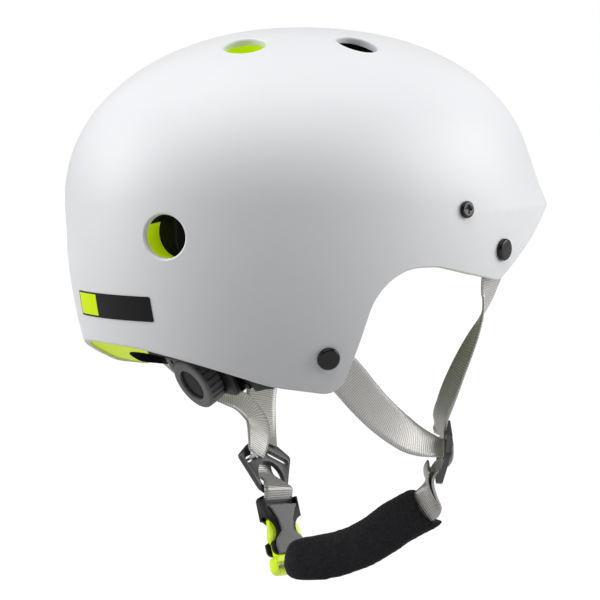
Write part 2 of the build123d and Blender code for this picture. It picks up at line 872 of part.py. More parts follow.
with BuildPart() as front_strap_left:
    add(
        webbing(
            rivet_end(strap_planes["front_left"], 17.0)
            + [
                free(50.0, -93.0, -66.0, (0.95, 0.25, -0.08)),
                free(30.5, -86.0, -117.0, (0.96, 0.2, -0.05)),
                free(25.0, -76.5, -140.8, (0.97, 0.1, -0.12)),
                over_divider(front * 2, 0.7, 2.0),
            ]
        )
    )
    add(eyelet(strap_planes["front_left"]), mode=Mode.SUBTRACT)
front_strap_left.part.label = "front_strap_left"


divider_turns = [(8.5, -3.0), (2.5, -4.4), (-2.5, -3.8), (-5.6, -0.8), (-9.6, 3.0), (-15.0, 3.9)]


def divider_loop(plane, inner, left_out=0):
    """Stations of webbing that lies over a divider's outer face and comes in at its opening."""
    width = webbing_width - 4.0
    turns = divider_turns[: len(divider_turns) - left_out]
    return [(on(plane, 0, y, inner * z), plane.x_dir, width) for y, z in turns]


# Buckle, in a plane with y up towards the divider and z towards the wearer's jaw
buckle_plane = upright(
    Plane(origin=place(15.2, -40.8, -195.0), x_dir=heading(1, 0.02, -0.04), z_dir=heading(0, 0.91, 0.41))
)
buckle_top = 22.0
buckle_mouth = buckle_top - buckle_length
buckle_half = buckle_thickness / 2
buckle_slot_at = buckle_top - buckle_bar - buckle_slot / 2
cavity_half = buckle_half - buckle_plate
male_top = buckle_mouth - male_gap
male_slot_at = male_top - male_length / 2 - 1.0


def at_buckle(y, z, width=webbing_width):
    """A station of webbing square to the buckle, on its middle line."""
    return on(buckle_plane, 0, y, z), buckle_plane.x_dir, width


with BuildPart() as buckle_strap:
    add(
        webbing(
            divider_loop(divider_left, 1, 1)
            + [
                at_buckle(buckle_top + 3.0, buckle_half + 0.7),
                at_buckle(buckle_top - 0.4, buckle_half - 1.1),
                at_buckle(buckle_slot_at + 0.6, 0.8),
                at_buckle(buckle_slot_at, -buckle_half),
            ]
        )
    )
buckle_strap.part.label = "buckle_strap"

with BuildPart() as buckle_body:
    with BuildSketch(buckle_plane.offset(-buckle_half)):
        with Locations((0, (buckle_top + buckle_mouth) / 2)):
            RectangleRounded(buckle_width, buckle_length, 3.5)
    extrude(amount=buckle_thickness)
    with BuildSketch(buckle_plane.offset(-cavity_half)):
        with Locations((0, (buckle_top - buckle_head + buckle_mouth - 2) / 2)):
            Rectangle(buckle_width + 2, buckle_top - buckle_head - buckle_mouth + 2)
    extrude(amount=2 * cavity_half, mode=Mode.SUBTRACT)
    with BuildSketch(buckle_plane.offset(-buckle_half)):
        with Locations((0, buckle_slot_at)):
            RectangleRounded(webbing_width + 1.2, buckle_slot, 0.6)
    extrude(amount=buckle_thickness, mode=Mode.SUBTRACT)
    with BuildSketch(buckle_plane.offset(-buckle_half)):
        notch_out = buckle_waist / 2 + buckle_notch_radius
        with Locations((-notch_out, buckle_notch_up), (notch_out, buckle_notch_up)):
            Circle(buckle_notch_radius)
    extrude(amount=buckle_thickness, mode=Mode.SUBTRACT)
    with BuildSketch(buckle_plane.offset(buckle_half - buckle_bar_recess)):
        with Locations((0, buckle_top)):
            Rectangle(buckle_width + 2, 2 * buckle_bar)
    extrude(amount=2 * buckle_bar_recess, mode=Mode.SUBTRACT)
buckle_body.part.label = "buckle_body"

with BuildPart() as buckle_cover_plate:
    with BuildSketch(buckle_plane.offset(buckle_half)):
        with BuildLine():
            waist = buckle_cover_waist / 2
            half = [
                (10.0, buckle_slot_at - buckle_slot / 2 - 0.1),
                (8.0, buckle_slot_at - buckle_slot / 2 - 2.7),
                (waist + 1.0, buckle_notch_up + 6.0),
                (waist, buckle_notch_up + 1.0),
                (waist, buckle_notch_up - 1.0),
                (waist + 4.6, buckle_notch_up - 5.7),
                (waist + 5.7, buckle_mouth + 5.0),
                (waist + 5.0, buckle_mouth),
            ]
            Polyline(*half, *[(-x, y) for x, y in reversed(half)], close=True)
        make_face()
        fillet(vertices(), 0.8)
    extrude(amount=buckle_cover)
    top = faces().sort_by_distance(on(buckle_plane, 0, 0, 50))[0]
    fillet(top.edges(), 0.5)
buckle_cover_plate.part.label = "buckle_cover_plate"

with BuildPart() as buckle_male:
    with BuildSketch(buckle_plane.offset(-buckle_half + 0.3)):
        with Locations((0, male_top - male_length / 2)):
            RectangleRounded(buckle_width, male_length, 4.0)
        with Locations((0, male_slot_at)):
            RectangleRounded(webbing_width + 1.2, buckle_slot, 0.6, mode=Mode.SUBTRACT)
    extrude(amount=buckle_thickness - 0.6)
    with BuildSketch(buckle_plane.offset(-cavity_half + 0.4)):
        with Locations((0, male_top - 1 + prong_reach / 2)):
            Rectangle(tongue_width, prong_reach)
    extrude(amount=2 * cavity_half - 0.8)
buckle_male.part.label = "buckle_male"


def release_prong(side):
    """Springy arm of the male half with a thumb shoulder, on one side of the buckle."""
    arm_out = buckle_width / 2 - prong_travel - fit_gap
    shoulder_out = buckle_width / 2 + shoulder_proud
    with BuildPart() as prong:
        with BuildSketch(buckle_plane.offset(-prong_thickness / 2)):
            with Locations((side * (arm_out - prong_width / 2), male_top + 0.05 + prong_reach / 2)):
                Rectangle(prong_width, prong_reach)
            with BuildLine():
                Polyline(
                    (side * (arm_out - 1), male_top + shoulder_start),
                    (side * (shoulder_out - 1.2), male_top + shoulder_start),
                    (side * shoulder_out, male_top + shoulder_start + 2.5),
                    (side * (arm_out - 0.2), male_top + shoulder_start + shoulder_length),
                    (side * (arm_out - 1), male_top + shoulder_start + shoulder_length),
                    close=True,
                )
            make_face()
        extrude(amount=prong_thickness)
    return prong.part


with BuildPart() as release_prong_front:
    add(release_prong(front_side(buckle_plane)))
release_prong_front.part.label = "release_prong_front"

with BuildPart() as release_prong_rear:
    add(release_prong(-front_side(buckle_plane)))
release_prong_rear.part.label = "release_prong_rear"

# Chin pad: stations of its middle line, the way its wide side lies, its width and its thickness
chin_pad_full = (chin_pad_width, chin_pad_thickness)
chin_line = [
    (place(1.8, -21.0, -205.5), (0.0, -0.1, 1.0), (15.0, 7.0)),
    (place(3.0, -18.0, -205.8), (0.0, -0.1, 1.0), (21.0, 10.5)),
    (place(6.2, -11.0, -206.0), (0.0, -0.1, 1.0), (25.5, 12.5)),
    (place(16.8, 2.0, -202.6), (-0.1, -0.15, 1.0), chin_pad_full),
    (place(25.4, 16.0, -196.5), (-0.25, -0.25, 0.93), chin_pad_full),
    (place(32.6, 30.0, -187.0), (-0.35, -0.33, 0.88), chin_pad_full),
    (place(38.7, 42.0, -176.8), (-0.4, -0.38, 0.83), chin_pad_full),
    (place(44.8, 52.0, -170.9), (-0.4, -0.4, 0.82), (26.0, 12.0)),
]


def chin_plane(index):
    """Plane across the chin pad at one of its stations, its x along the pad's wide side."""
    before = chin_line[max(0, index - 1)][0]
    after = chin_line[min(len(chin_line) - 1, index + 1)][0]
    along = (after - before).normalized()
    across = heading(*chin_line[index][1])
    across = (across - along * across.dot(along)).normalized()
    return Plane(origin=chin_line[index][0], x_dir=across, z_dir=along)


pad_flank = chin_plane(2)
flank_side = 1 if on(pad_flank, 0, 1, 0).X > pad_flank.origin.X else -1
pad_mouth = chin_plane(len(chin_line) - 1)

with BuildPart() as chin_pad:
    for index, (_, _, (wide, thick)) in enumerate(chin_line):
        with BuildSketch(chin_plane(index)):
            RectangleRounded(wide, thick, thick * 0.42)
    loft()
    with BuildSketch(pad_mouth):
        room = (chin_pad_width - 2 * chin_pad_wall, chin_pad_thickness - 2 * chin_pad_wall)
        RectangleRounded(*room, 2.0)
    extrude(amount=-chin_pad_pocket, mode=Mode.SUBTRACT)
chin_pad.part.label = "chin_pad"

with BuildPart() as chin_strap_left:
    flank_out = chin_line[2][2][1] / 2 + fit_gap
    add(
        webbing(
            [
                at_buckle(male_slot_at, -buckle_half),
                at_buckle(male_slot_at, buckle_half + 0.5),
                (on(pad_flank, 0, flank_side * (flank_out + 3), 0), pad_flank.z_dir, chin_entry_width),
                (on(pad_flank, 0, flank_side * flank_out, 0), pad_flank.z_dir, chin_entry_width),
            ]
        )
    )
chin_strap_left.part.label = "chin_strap_left"

with BuildPart() as chin_strap_right:
    ply_gap = webbing_thickness + 0.9
    add(
        webbing(
            divider_loop(divider_right, -1)
            + [
                (on(pad_mouth, 0, ply_gap / 2, 8.0), pad_mouth.x_dir, webbing_width - 1),
                (on(pad_mouth, 0, ply_gap / 2, fit_gap), pad_mouth.x_dir, webbing_width - 1),
            ]
        )
    )
    add(
        webbing(
            [
                (on(divider_right, 0, -8.5, -6.4), divider_right.x_dir, webbing_width - 4),
                (on(divider_right, 0, -14.5, -8.0), divider_right.x_dir, webbing_width - 3),
                (on(pad_mouth, 0, -ply_gap / 2, 8.0), pad_mouth.x_dir, webbing_width - 1),
                (on(pad_mouth, 0, -ply_gap / 2, fit_gap), pad_mouth.x_dir, webbing_width - 1),
            ]
        )
    )
chin_strap_right.part.label = "chin_strap_right"

pieces = [
    outer_shell, foam_liner, crown_pad, brow_pad, rear_pad, side_pad_left, side_pad_right, rear_label,
    strap_rivet_caps, strap_rivet_backs, temple_screws, temple_posts, cradle_arm_left, cradle_arm_right,
    dial_housing_base, dial_housing_cover, dial_pinion, dial_knob, dial_cap, strap_divider_right,
    strap_divider_left, rear_strap_right, front_strap_right, rear_strap_left, front_strap_left,
    buckle_strap, buckle_body, buckle_cover_plate, buckle_male, release_prong_front,
    release_prong_rear, chin_pad, chin_strap_left, chin_strap_right,
]
for piece in pieces:
    export_step(piece.part, f"parts/{piece.part.label}.step")
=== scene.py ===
"""Water-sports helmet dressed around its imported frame: +Z up, the wearer looks along -Y."""

import math

import bmesh
import bpy
import numpy as np
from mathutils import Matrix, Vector


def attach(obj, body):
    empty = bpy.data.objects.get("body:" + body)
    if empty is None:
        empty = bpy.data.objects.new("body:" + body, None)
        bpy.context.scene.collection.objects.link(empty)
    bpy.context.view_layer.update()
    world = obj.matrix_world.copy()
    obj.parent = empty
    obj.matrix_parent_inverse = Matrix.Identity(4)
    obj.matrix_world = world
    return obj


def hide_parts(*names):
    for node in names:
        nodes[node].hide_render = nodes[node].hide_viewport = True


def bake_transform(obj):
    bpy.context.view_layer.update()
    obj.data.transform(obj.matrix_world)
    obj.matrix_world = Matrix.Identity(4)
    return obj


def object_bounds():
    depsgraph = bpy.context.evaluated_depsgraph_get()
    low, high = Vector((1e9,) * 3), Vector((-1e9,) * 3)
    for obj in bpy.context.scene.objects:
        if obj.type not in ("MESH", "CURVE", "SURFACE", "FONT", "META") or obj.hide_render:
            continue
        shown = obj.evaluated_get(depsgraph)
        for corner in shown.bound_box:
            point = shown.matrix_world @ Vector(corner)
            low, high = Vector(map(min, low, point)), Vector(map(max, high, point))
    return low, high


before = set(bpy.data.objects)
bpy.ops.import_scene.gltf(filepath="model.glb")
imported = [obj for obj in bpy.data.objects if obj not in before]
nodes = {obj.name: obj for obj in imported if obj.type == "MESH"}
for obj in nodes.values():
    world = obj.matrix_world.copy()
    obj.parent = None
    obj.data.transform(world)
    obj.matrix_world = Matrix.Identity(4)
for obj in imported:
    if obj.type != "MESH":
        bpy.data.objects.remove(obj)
cad_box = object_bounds()


def put(name, data):
    """A new object in the scene."""
    thing = bpy.data.objects.new(name, data)
    bpy.context.scene.collection.objects.link(thing)
    return thing


def painted(piece, *materials):
    """piece with these materials and no others."""
    piece.data.materials.clear()
    for material in materials:
        piece.data.materials.append(material)
    return piece


# Camera ----------------------------------------------------------------------------------------
# A long lens behind and to the right of the wearer, a little above the belt line of the shell.
eye = Vector((-1.0103, 0.7363, -0.0105))
look = Vector((0.8059, -0.5855, -0.0872))
camera_data = bpy.data.cameras.new("camera")
camera_data.lens = 135.4
camera_data.sensor_width = 36.0
camera_data.clip_end = 20.0
camera = put("camera", camera_data)
camera.location = eye
camera.rotation_euler = look.to_track_quat("-Z", "Y").to_euler()
bpy.context.scene.camera = camera

# Outer shell -----------------------------------------------------------------------------------
# A single moulded ABS dome, satin white, with a thin rolled rim and eight round vents whose lips
# are rounded over into short collars. It is made here as one smooth skin with real wall.
mm = 0.001
belt = -63.2
half_width, front_reach, rear_reach = 110.0, 138.5, 137.8
crown_height, lower_wall_drop = 93.8, 189.0
dome_power, front_power = 2.107, 2.25
brim_flare, brim_start, brim_height = 12.5, 30.0, 34.0
shell_wall = 3.0
rim_corners = [
    (-260.0, -72.0, 0.0),
    (-128.0, -72.0, 40.0),
    (-75.0, -92.5, 60.0),
    (-42.0, -98.0, 9.0),
    (-27.5, -32.0, 30.0),
    (8.0, -32.5, 30.0),
    (57.0, -42.5, 9.0),
    (114.0, -6.0, 50.0),
    (260.0, 6.0, 0.0),
]
vent_radius, vent_lip, vent_collar, vent_depth, vent_turns = 11.25, 1.6, 1.6, 4.5, 72
bore_inwards, bore_outwards, collar_top, collar_core = 40.0, 8.0, 1.8, 4.0
meridian_spacing, outer_rows, inner_rows, lip_radius = 2.2, 72, 60, 0.9
rim_lowest, rim_highest, rim_rounds, plan_samples = -125.0, 10.0, 40, 7201
probe, on_skin, same_way = 0.01, 0.06, 0.96


def place(forward, right, rise):
    """Point ahead of the ears, to the wearer's right and above the belt line, in millimetres."""
    return Vector((-right, -forward, belt + rise))


def heading(forward, right, rise):
    """Direction in the same terms."""
    return Vector((-right, -forward, rise)).normalized()


def flare(rise, front_share):
    """How much wider the dome is near the brim at the front."""
    below = np.clip((brim_start - rise) / brim_height, 0, 1)
    return 1 + brim_flare / front_reach * below**2 * np.maximum(0, front_share) ** 2


def dome_sizes(ahead, rise, inset):
    """Height, half width, reach and power of the part of the dome that points are in."""
    height = np.where(rise > 0, crown_height, lower_wall_drop) - inset
    reach = np.where(ahead, front_reach, rear_reach) - inset
    return height, half_width - inset, reach, np.where(ahead, front_power, dome_power)


def dome(angle, rise, inset=0.0):
    """Forward and right of the dome's surface at plan angles and heights."""
    ahead = np.cos(angle) > 0
    height, across, reach, power = dome_sizes(ahead, rise, inset)
    level = np.minimum(1, np.abs(rise) / height)
    right = across * np.sqrt(1 - level**2) * np.sin(angle)
    rest = (1 - (right / across) ** 2) ** (power / 2) - level**power
    forward = reach * np.maximum(0, rest) ** (1 / power) * np.where(ahead, 1, -1)
    grow = flare(rise, np.cos(angle))
    return forward * grow, right * grow


def dome_value(points, inset):
    """A field over points in millimetres that passes 1 at the dome's surface."""
    forward, right, rise = -points[:, 1], -points[:, 0], points[:, 2] - belt
    height, across, reach, power = dome_sizes(forward > 0, rise, inset)
    widest = across * np.sqrt(np.maximum(1e-6, 1 - (np.abs(rise) / height) ** 2))
    grow = 1.0
    for _ in range(3):
        share = np.sqrt(np.maximum(0, 1 - (right / grow / widest) ** 2))
        grow = flare(rise, np.where(forward > 0, share, 0))
    spread = (np.abs(forward / grow) / reach) ** power + (np.abs(rise) / height) ** power
    return (right / grow / across) ** 2 + np.maximum(spread, 1e-9) ** (2 / power)


def dome_gap(points, inset=0.0):
    """How far points in millimetres are outside the dome, roughly, and its normal there."""
    steps = probe * np.eye(3)
    change = [dome_value(points + step, inset) - dome_value(points - step, inset) for step in steps]
    gradient = np.stack(change, axis=1) / (2 * probe)
    length = np.linalg.norm(gradient, axis=1)
    return (dome_value(points, inset) - 1) / length, gradient / length[:, None]


def rim_profile():
    """The rim's side view as points, its corners rounded to their radii."""
    points = [rim_corners[0][:2]]
    for before, corner, after in zip(rim_corners, rim_corners[1:], rim_corners[2:]):
        here = Vector(corner[:2])
        back = (Vector(before[:2]) - here).normalized()
        ahead = (Vector(after[:2]) - here).normalized()
        half = back.angle(ahead) / 2
        centre = here + (back + ahead).normalized() * corner[2] / math.sin(half)
        start = here + back * corner[2] / math.tan(half) - centre
        end = here + ahead * corner[2] / math.tan(half) - centre
        for step in range(13):
            points.append(tuple(centre + start.slerp(end, step / 12) * corner[2]))
    points.append(rim_corners[-1][:2])
    return np.array(points)


rim_line = rim_profile()


def rim_rise(angle, inset):
    """Height of the rim on the meridian at each plan angle."""
    low, high = np.full_like(angle, rim_lowest), np.full_like(angle, rim_highest)
    for _ in range(rim_rounds):
        middle = (low + high) / 2
        forward, _ = dome(angle, middle, inset)
        under = middle < np.interp(forward, rim_line[:, 0], rim_line[:, 1])
        low, high = np.where(under, middle, low), np.where(under, high, middle)
    return (low + high) / 2


def even_meridians(spacing):
    """Plan angles whose meridians meet the rim at even distances along it."""
    angle = np.linspace(0, 2 * math.pi, plan_samples)
    rise = rim_rise(angle, 0.0)
    forward, right = dome(angle, rise)
    steps = np.sqrt(np.diff(forward) ** 2 + np.diff(right) ** 2 + np.diff(rise) ** 2)
    along = np.concatenate([[0], np.cumsum(steps)])
    count = int(along[-1] / spacing)
    return np.interp(np.arange(count) * along[-1] / count, along, angle)


def dome_rows(angle, inset, rows):
    """Grid of points from the rim to just short of the crown: rows x meridians x 3."""
    rim = rim_rise(angle, inset)
    upper = 165.0
    grid = []
    for row in range(rows):
        run = row / rows * (upper - rim)
        climb = np.clip((run + rim) / upper, 0, 1) * math.pi / 2
        rise = np.where(run < -rim, rim + run, (crown_height - inset) * np.sin(climb))
        forward, right = dome(angle, rise, inset)
        grid.append(np.stack([-right, -forward, belt + rise], axis=1))
    return np.array(grid)


def rebuilt(mesh, change):
    """A change made to a mesh as a bmesh."""
    shape = bmesh.new()
    shape.from_mesh(mesh)
    change(shape)
    shape.to_mesh(mesh)
    shape.free()


def tube_mesh(name, rings, pole_start, pole_end):
    """Closed mesh from rings of points, with a single point at either end."""
    count = len(rings[0])
    last = (len(rings) - 1) * count
    tip = last + count
    spots = (*np.concatenate(rings), pole_start, pole_end)
    points = [tuple(np.array(spot) * mm) for spot in spots]
    sides = [(i, (i + 1) % count) for i in range(count)]
    faces = []
    for base in range(0, last, count):
        faces += [(base + i, base + j, base + count + j, base + count + i) for i, j in sides]
    faces += [(j, i, tip) for i, j in sides] + [(last + i, last + j, tip + 1) for i, j in sides]
    mesh = bpy.data.meshes.new(name)
    mesh.from_pydata(points, [], faces)
    rebuilt(mesh, lambda shape: bmesh.ops.recalc_face_normals(shape, faces=shape.faces))
    return put(name, mesh)


def dome_spot(forward, right, rise, missing):
    """Point and normal on the shell, with the coordinate named missing worked out from its sign."""
    reach, power = (front_reach, front_power) if forward > 0 else (rear_reach, dome_power)
    height = crown_height if rise > 0 or missing == "rise" else lower_wall_drop
    if missing == "right":
        spread = abs(forward / reach) ** power + abs(rise / height) ** power
        right *= half_width * math.sqrt(1 - spread ** (2 / power))
    narrow = (1 - (right / half_width) ** 2) ** (power / 2)
    if missing == "rise":
        rise = height * (narrow - abs(forward / reach) ** power) ** (1 / power)
    if missing == "forward":
        forward *= reach * (narrow - abs(rise / height) ** power) ** (1 / power)
    widest = half_width * math.sqrt(1 - (rise / height) ** 2)
    share = math.sqrt(max(0, 1 - (right / widest) ** 2)) if forward > 0 else 0
    grow = float(flare(rise, share))
    point = place(forward * grow, right * grow, rise)
    return point, Vector(dome_gap(np.array([point]))[1][0])


vents = [
    dome_spot(place_forward, side * right, rise, missing)
    for side in (1, -1)
    for place_forward, right, rise, missing in (
        (-1.0, 49.0, -15.0, "forward"),
        (1.0, 46.0, 24.0, "forward"),
        (-58.0, 27.0, 0.0, "rise"),
        (0.5, 48.0, 0.0, "rise"),
    )
]


def spokes(normal, shift=0.0):
    """Directions out from a vent's axis, evenly round it."""
    first = normal.cross(Vector((0, 0, 1))).normalized()
    second = normal.cross(first)
    for turn in range(vent_turns):
        angle = 2 * math.pi * (turn + shift) / vent_turns
        yield first * math.cos(angle) + second * math.sin(angle)


def sunk(spot, normal):
    """Point of the dome straight under or over a spot in a vent's plane."""
    for _ in range(4):
        gap, way = dome_gap(np.array([spot]))
        spot = spot - normal * float(gap[0]) / max(0.3, Vector(way[0]).dot(normal))
    return spot


def vent_cutter(point, normal):
    """Rings of the solid that a vent removes: a straight bore that opens over a rounded lip."""
    rings = [[] for _ in range(9)]
    for spoke in spokes(normal):
        rings[0].append(point + spoke * vent_radius - normal * bore_inwards)
        for step in range(7):
            bend = math.pi / 2 * step / 6
            radius = vent_radius + vent_lip * (1 - math.cos(bend))
            surface = sunk(point + spoke * radius, normal)
            rings[1 + step].append(surface - normal * vent_lip * (1 - math.sin(bend)))
        rings[8].append(point + spoke * (vent_radius + vent_lip) + normal * bore_outwards)
    ends = (point - normal * bore_inwards, point + normal * bore_outwards)
    return [np.array(ring) for ring in rings], *ends


def collar_rings(point, normal):
    """Rings of the plug of plastic that a vent's collar is bored from."""
    rings = []
    width = vent_radius + vent_collar
    for depth, radii in ((collar_top, (collar_core, width)), (vent_depth, (width, collar_core))):
        for radius in radii:
            ring = [point + spoke * radius - normal * depth for spoke in spokes(normal, 0.5)]
            rings.append(np.array(ring))
    return rings, point - normal * collar_top, point - normal * vent_depth


def joined(pieces, name):
    """Several mesh objects as one."""
    first, *others = pieces

    def gather(shape):
        for piece in others:
            shape.from_mesh(piece.data)

    rebuilt(first.data, gather)
    for piece in others:
        bpy.data.objects.remove(piece)
    first.name = name
    return first


def applied(piece):
    """piece with its modifiers applied to its mesh."""
    bpy.context.view_layer.update()
    graph = bpy.context.evaluated_depsgraph_get()
    mesh = bpy.data.meshes.new_from_object(piece.evaluated_get(graph))
    piece.modifiers.clear()
    piece.data = mesh
    return piece


def changed(piece, kind, **settings):
    """piece with a modifier of the kind applied at these settings."""
    change = piece.modifiers.new(kind.lower(), kind)
    for name, value in settings.items():
        setattr(change, name, value)
    return applied(piece)


angles = even_meridians(meridian_spacing)
outer = dome_rows(angles, 0.0, outer_rows)
inner = dome_rows(angles, shell_wall, inner_rows)
lip = []
across_wall = inner[0] - outer[0]
across_wall /= np.linalg.norm(across_wall, axis=1)[:, None]
for wall, inwards in ((inner, -across_wall), (outer, across_wall)):
    upward = wall[1] - wall[0]
    upward /= np.linalg.norm(upward, axis=1)[:, None]
    for bend in (0, 22.5, 45, 67.5, 90) if wall is inner else (90, 67.5, 45, 22.5, 0):
        sweep = math.radians(bend)
        turned = inwards * (1 - math.cos(sweep)) + upward * (1 - math.sin(sweep))
        lip.append(wall[0] + lip_radius * turned)
shell = tube_mesh(
    "shell_skin",
    list(inner[:0:-1]) + lip + list(outer[1:]),
    place(0, 0, crown_height - shell_wall),
    place(0, 0, crown_height),
)
for shape_rings, operation in ((collar_rings, "UNION"), (vent_cutter, "DIFFERENCE")):
    solids = joined([tube_mesh("vent", *shape_rings(*spot)) for spot in vents], "vents")
    shell = changed(shell, "BOOLEAN", operation=operation, solver="EXACT", object=solids)
    bpy.data.objects.remove(solids)


def coordinates(mesh):
    """A mesh's points in millimetres."""
    points = np.zeros(len(mesh.vertices) * 3)
    mesh.vertices.foreach_get("co", points)
    return points.reshape(-1, 3) / mm


def dome_shading(piece, sharp):
    """Smooth shading whose normals are the dome's own on its outer face."""
    mesh = piece.data
    mesh.shade_smooth()
    mesh.set_sharp_from_angle(angle=math.radians(sharp))
    gap, ideal = dome_gap(coordinates(mesh))
    given_normals = [Vector(item.vector) for item in mesh.corner_normals]
    normals = []
    for loop, given in zip(mesh.loops, given_normals):
        on_dome = abs(gap[loop.vertex_index]) < on_skin
        own = Vector(ideal[loop.vertex_index])
        normals.append(own if on_dome and own.dot(given) > same_way else given)
    mesh.normals_split_custom_set(normals)


dome_shading(shell, 40)


def node_group(kind, name, inputs, outputs):
    """A new node tree, the sockets its named inputs arrive at and those its outputs leave by."""
    tree = bpy.data.node_groups.new(name, kind)

    def socket(label, way, carries):
        return tree.interface.new_socket(label, in_out=way, socket_type=f"NodeSocket{carries}")

    for label, carries, default in inputs:
        made = socket(label, "INPUT", carries)
        if default is not None:
            made.default_value = default
    for label, carries in outputs:
        socket(label, "OUTPUT", carries)
    return tree, tree.nodes.new("NodeGroupInput").outputs, tree.nodes.new("NodeGroupOutput").inputs


def wire(tree, *pairs):
    """Links in a node tree, each from an output to an input."""
    for source, target in pairs:
        tree.links.new(source, target)


def add(tree, kind, *defaults, **settings):
    """A new node with these settings, and with values for its inputs given as pairs."""
    node = tree.nodes.new(kind)
    for name, value in settings.items():
        setattr(node, name, value)
    return preset(node, *defaults)


def preset(node, *defaults):
    """A node with values for its inputs, given as pairs."""
    for socket, value in defaults:
        node.inputs[socket].default_value = value
    return node


def grain_group():
    """Shader group: fine moulded or sprayed grain as a height, with a slow mottle for colour."""
    sizes = (("Grain Size", "Float", 0.0006), ("Mottle Size", "Float", 0.02))
    results = (("Height", "Float"), ("Mottle", "Float"))
    group, given, result = node_group("ShaderNodeTree", "fine_grain", sizes, results)
    place_on = add(group, "ShaderNodeTexCoord").outputs["Object"]
    for (size, *_), (out, _) in zip(sizes, results):
        scale = add(group, "ShaderNodeMath", (0, 1.0), operation="DIVIDE")
        noise = add(group, "ShaderNodeTexNoise", ("Detail", 3.0))
        wire(group, (given[size], scale.inputs[1]), (scale.outputs[0], noise.inputs["Scale"]))
        wire(group, (place_on, noise.inputs["Vector"]), (noise.outputs["Fac"], result[out]))
    return group


fine_grain = grain_group()


def moulded(name, dark, light, roughness, grain, depth, mottle, spread, **plain):
    """Material with a grained surface: colour and roughness drift slightly, bump is the grain."""
    material = bpy.data.materials.new(name)
    material.use_nodes = True
    tree = material.node_tree
    shader = tree.nodes["Principled BSDF"]
    sizes = (("Grain Size", grain), ("Mottle Size", mottle))
    texture = add(tree, "ShaderNodeGroup", *sizes, node_tree=fine_grain)
    colour = add(tree, "ShaderNodeMix", (6, (*dark, 1)), (7, (*light, 1)), data_type="RGBA")
    limits = (("To Min", roughness - spread), ("To Max", roughness + spread))
    range_of = add(tree, "ShaderNodeMapRange", *limits)
    bump = add(tree, "ShaderNodeBump", ("Strength", 0.5), ("Distance", depth))
    wire(
        tree,
        (texture.outputs["Mottle"], colour.inputs[0]),
        (colour.outputs[2], shader.inputs["Base Color"]),
        (texture.outputs["Mottle"], range_of.inputs["Value"]),
        (range_of.outputs["Result"], shader.inputs["Roughness"]),
        (texture.outputs["Height"], bump.inputs["Height"]),
        (bump.outputs["Normal"], shader.inputs["Normal"]),
    )
    preset(shader, *((socket.replace("_", " "), value) for socket, value in plain.items()))
    return material


white_abs = moulded(
    "white_abs", (0.77, 0.78, 0.80), (0.80, 0.81, 0.83), 0.46, 0.0005, 0.00002, 0.05, 0.03
)
painted(shell, white_abs)
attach(shell, "helmet")
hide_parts("outer_shell")

# Foam liner ------------------------------------------------------------------------------------
# One thick moulding of neon expanded foam inside the shell, cut away at the vents and straps. Faces
# deep on its inner side and round its front top vents are made matt black; the downward faces along
# its right rear rim are black as painted shade under the rim.
liner_thickness, seat_gap, black_face_depth = 18.0, 0.3, 0.6
liner_inner = shell_wall + seat_gap + liner_thickness
rim_facing, rim_from_middle, rim_from_ears = -0.4, -0.012, 0.05


def from_frame(node, name):
    """A merged copy of a CAD node's mesh as a piece of its own."""
    mesh = nodes[node].data.copy()
    mesh.materials.clear()
    rebuilt(mesh, lambda shape: bmesh.ops.remove_doubles(shape, verts=shape.verts, dist=0.000005))
    return put(name, mesh)


# Painted glow: the neon materials emit a faint light of their own, so that they look brighter.
painted_neon_glow = {"Emission_Color": (0.75, 1.0, 0.0, 1), "Emission_Strength": 0.2}
neon_foam = moulded(
    "neon_foam", (0.74, 0.94, 0.0), (0.82, 1.0, 0.005),
    0.62, 0.0009, 0.00008, 0.006, 0.08, **painted_neon_glow,
)
dull = {"Specular_IOR_Level": 0.14}
# Matt black foam, also used as painted shade on the right rear rim.
black_foam = moulded(
    "black_foam", (0.008, 0.008, 0.009), (0.014, 0.014, 0.016),
    0.85, 0.0009, 0.00008, 0.006, 0.05, **dull,
)
liner = from_frame("foam_liner", "liner")
liner.data.shade_smooth()
liner.data.set_sharp_from_angle(angle=math.radians(30))
painted(liner, neon_foam, black_foam)
depths = -dome_gap(np.array([item.center for item in liner.data.polygons]) / mm)[0]
for item, depth in zip(liner.data.polygons, depths):
    # Painted shade: faces that look down along the right rear rim take the black foam.
    low_right = item.center.x < rim_from_middle and item.center.y > rim_from_ears
    shaded_rim = item.normal.z < rim_facing and low_right
    item.material_index = int(depth > liner_inner - black_face_depth or shaded_rim)
for point, normal in (vents[3], vents[7]):
    for item in liner.data.polygons:
        apart = item.center / mm - point
        if (apart - normal * apart.dot(normal)).length < vent_radius + 3:
            item.material_index = 1
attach(liner, "helmet")
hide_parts("foam_liner")

# Comfort pads ----------------------------------------------------------------------------------
# Soft foam covered in brushed black knit, pressed onto the liner at the crown, brow, nape and
# sides. Each is flat where it rests on the liner and swells towards the head.
pad_voxel, pad_swell, pad_sheen, cloth_pressure, cloth_frames = 0.0032, 1.6, 0.15, 4.0, 20
brushed = {"Sheen_Weight": pad_sheen, "Sheen_Roughness": 0.5, **dull}
pad_fabric = moulded(
    "pad_fabric", (0.009, 0.009, 0.011), (0.022, 0.022, 0.026),
    0.92, 0.0007, 0.0002, 0.004, 0.05, **brushed,
)


def evened(piece, voxel, rounds):
    """piece as an even closed mesh, relaxed."""
    piece = changed(piece, "REMESH", mode="VOXEL", voxel_size=voxel)
    return changed(piece, "SMOOTH", iterations=rounds)


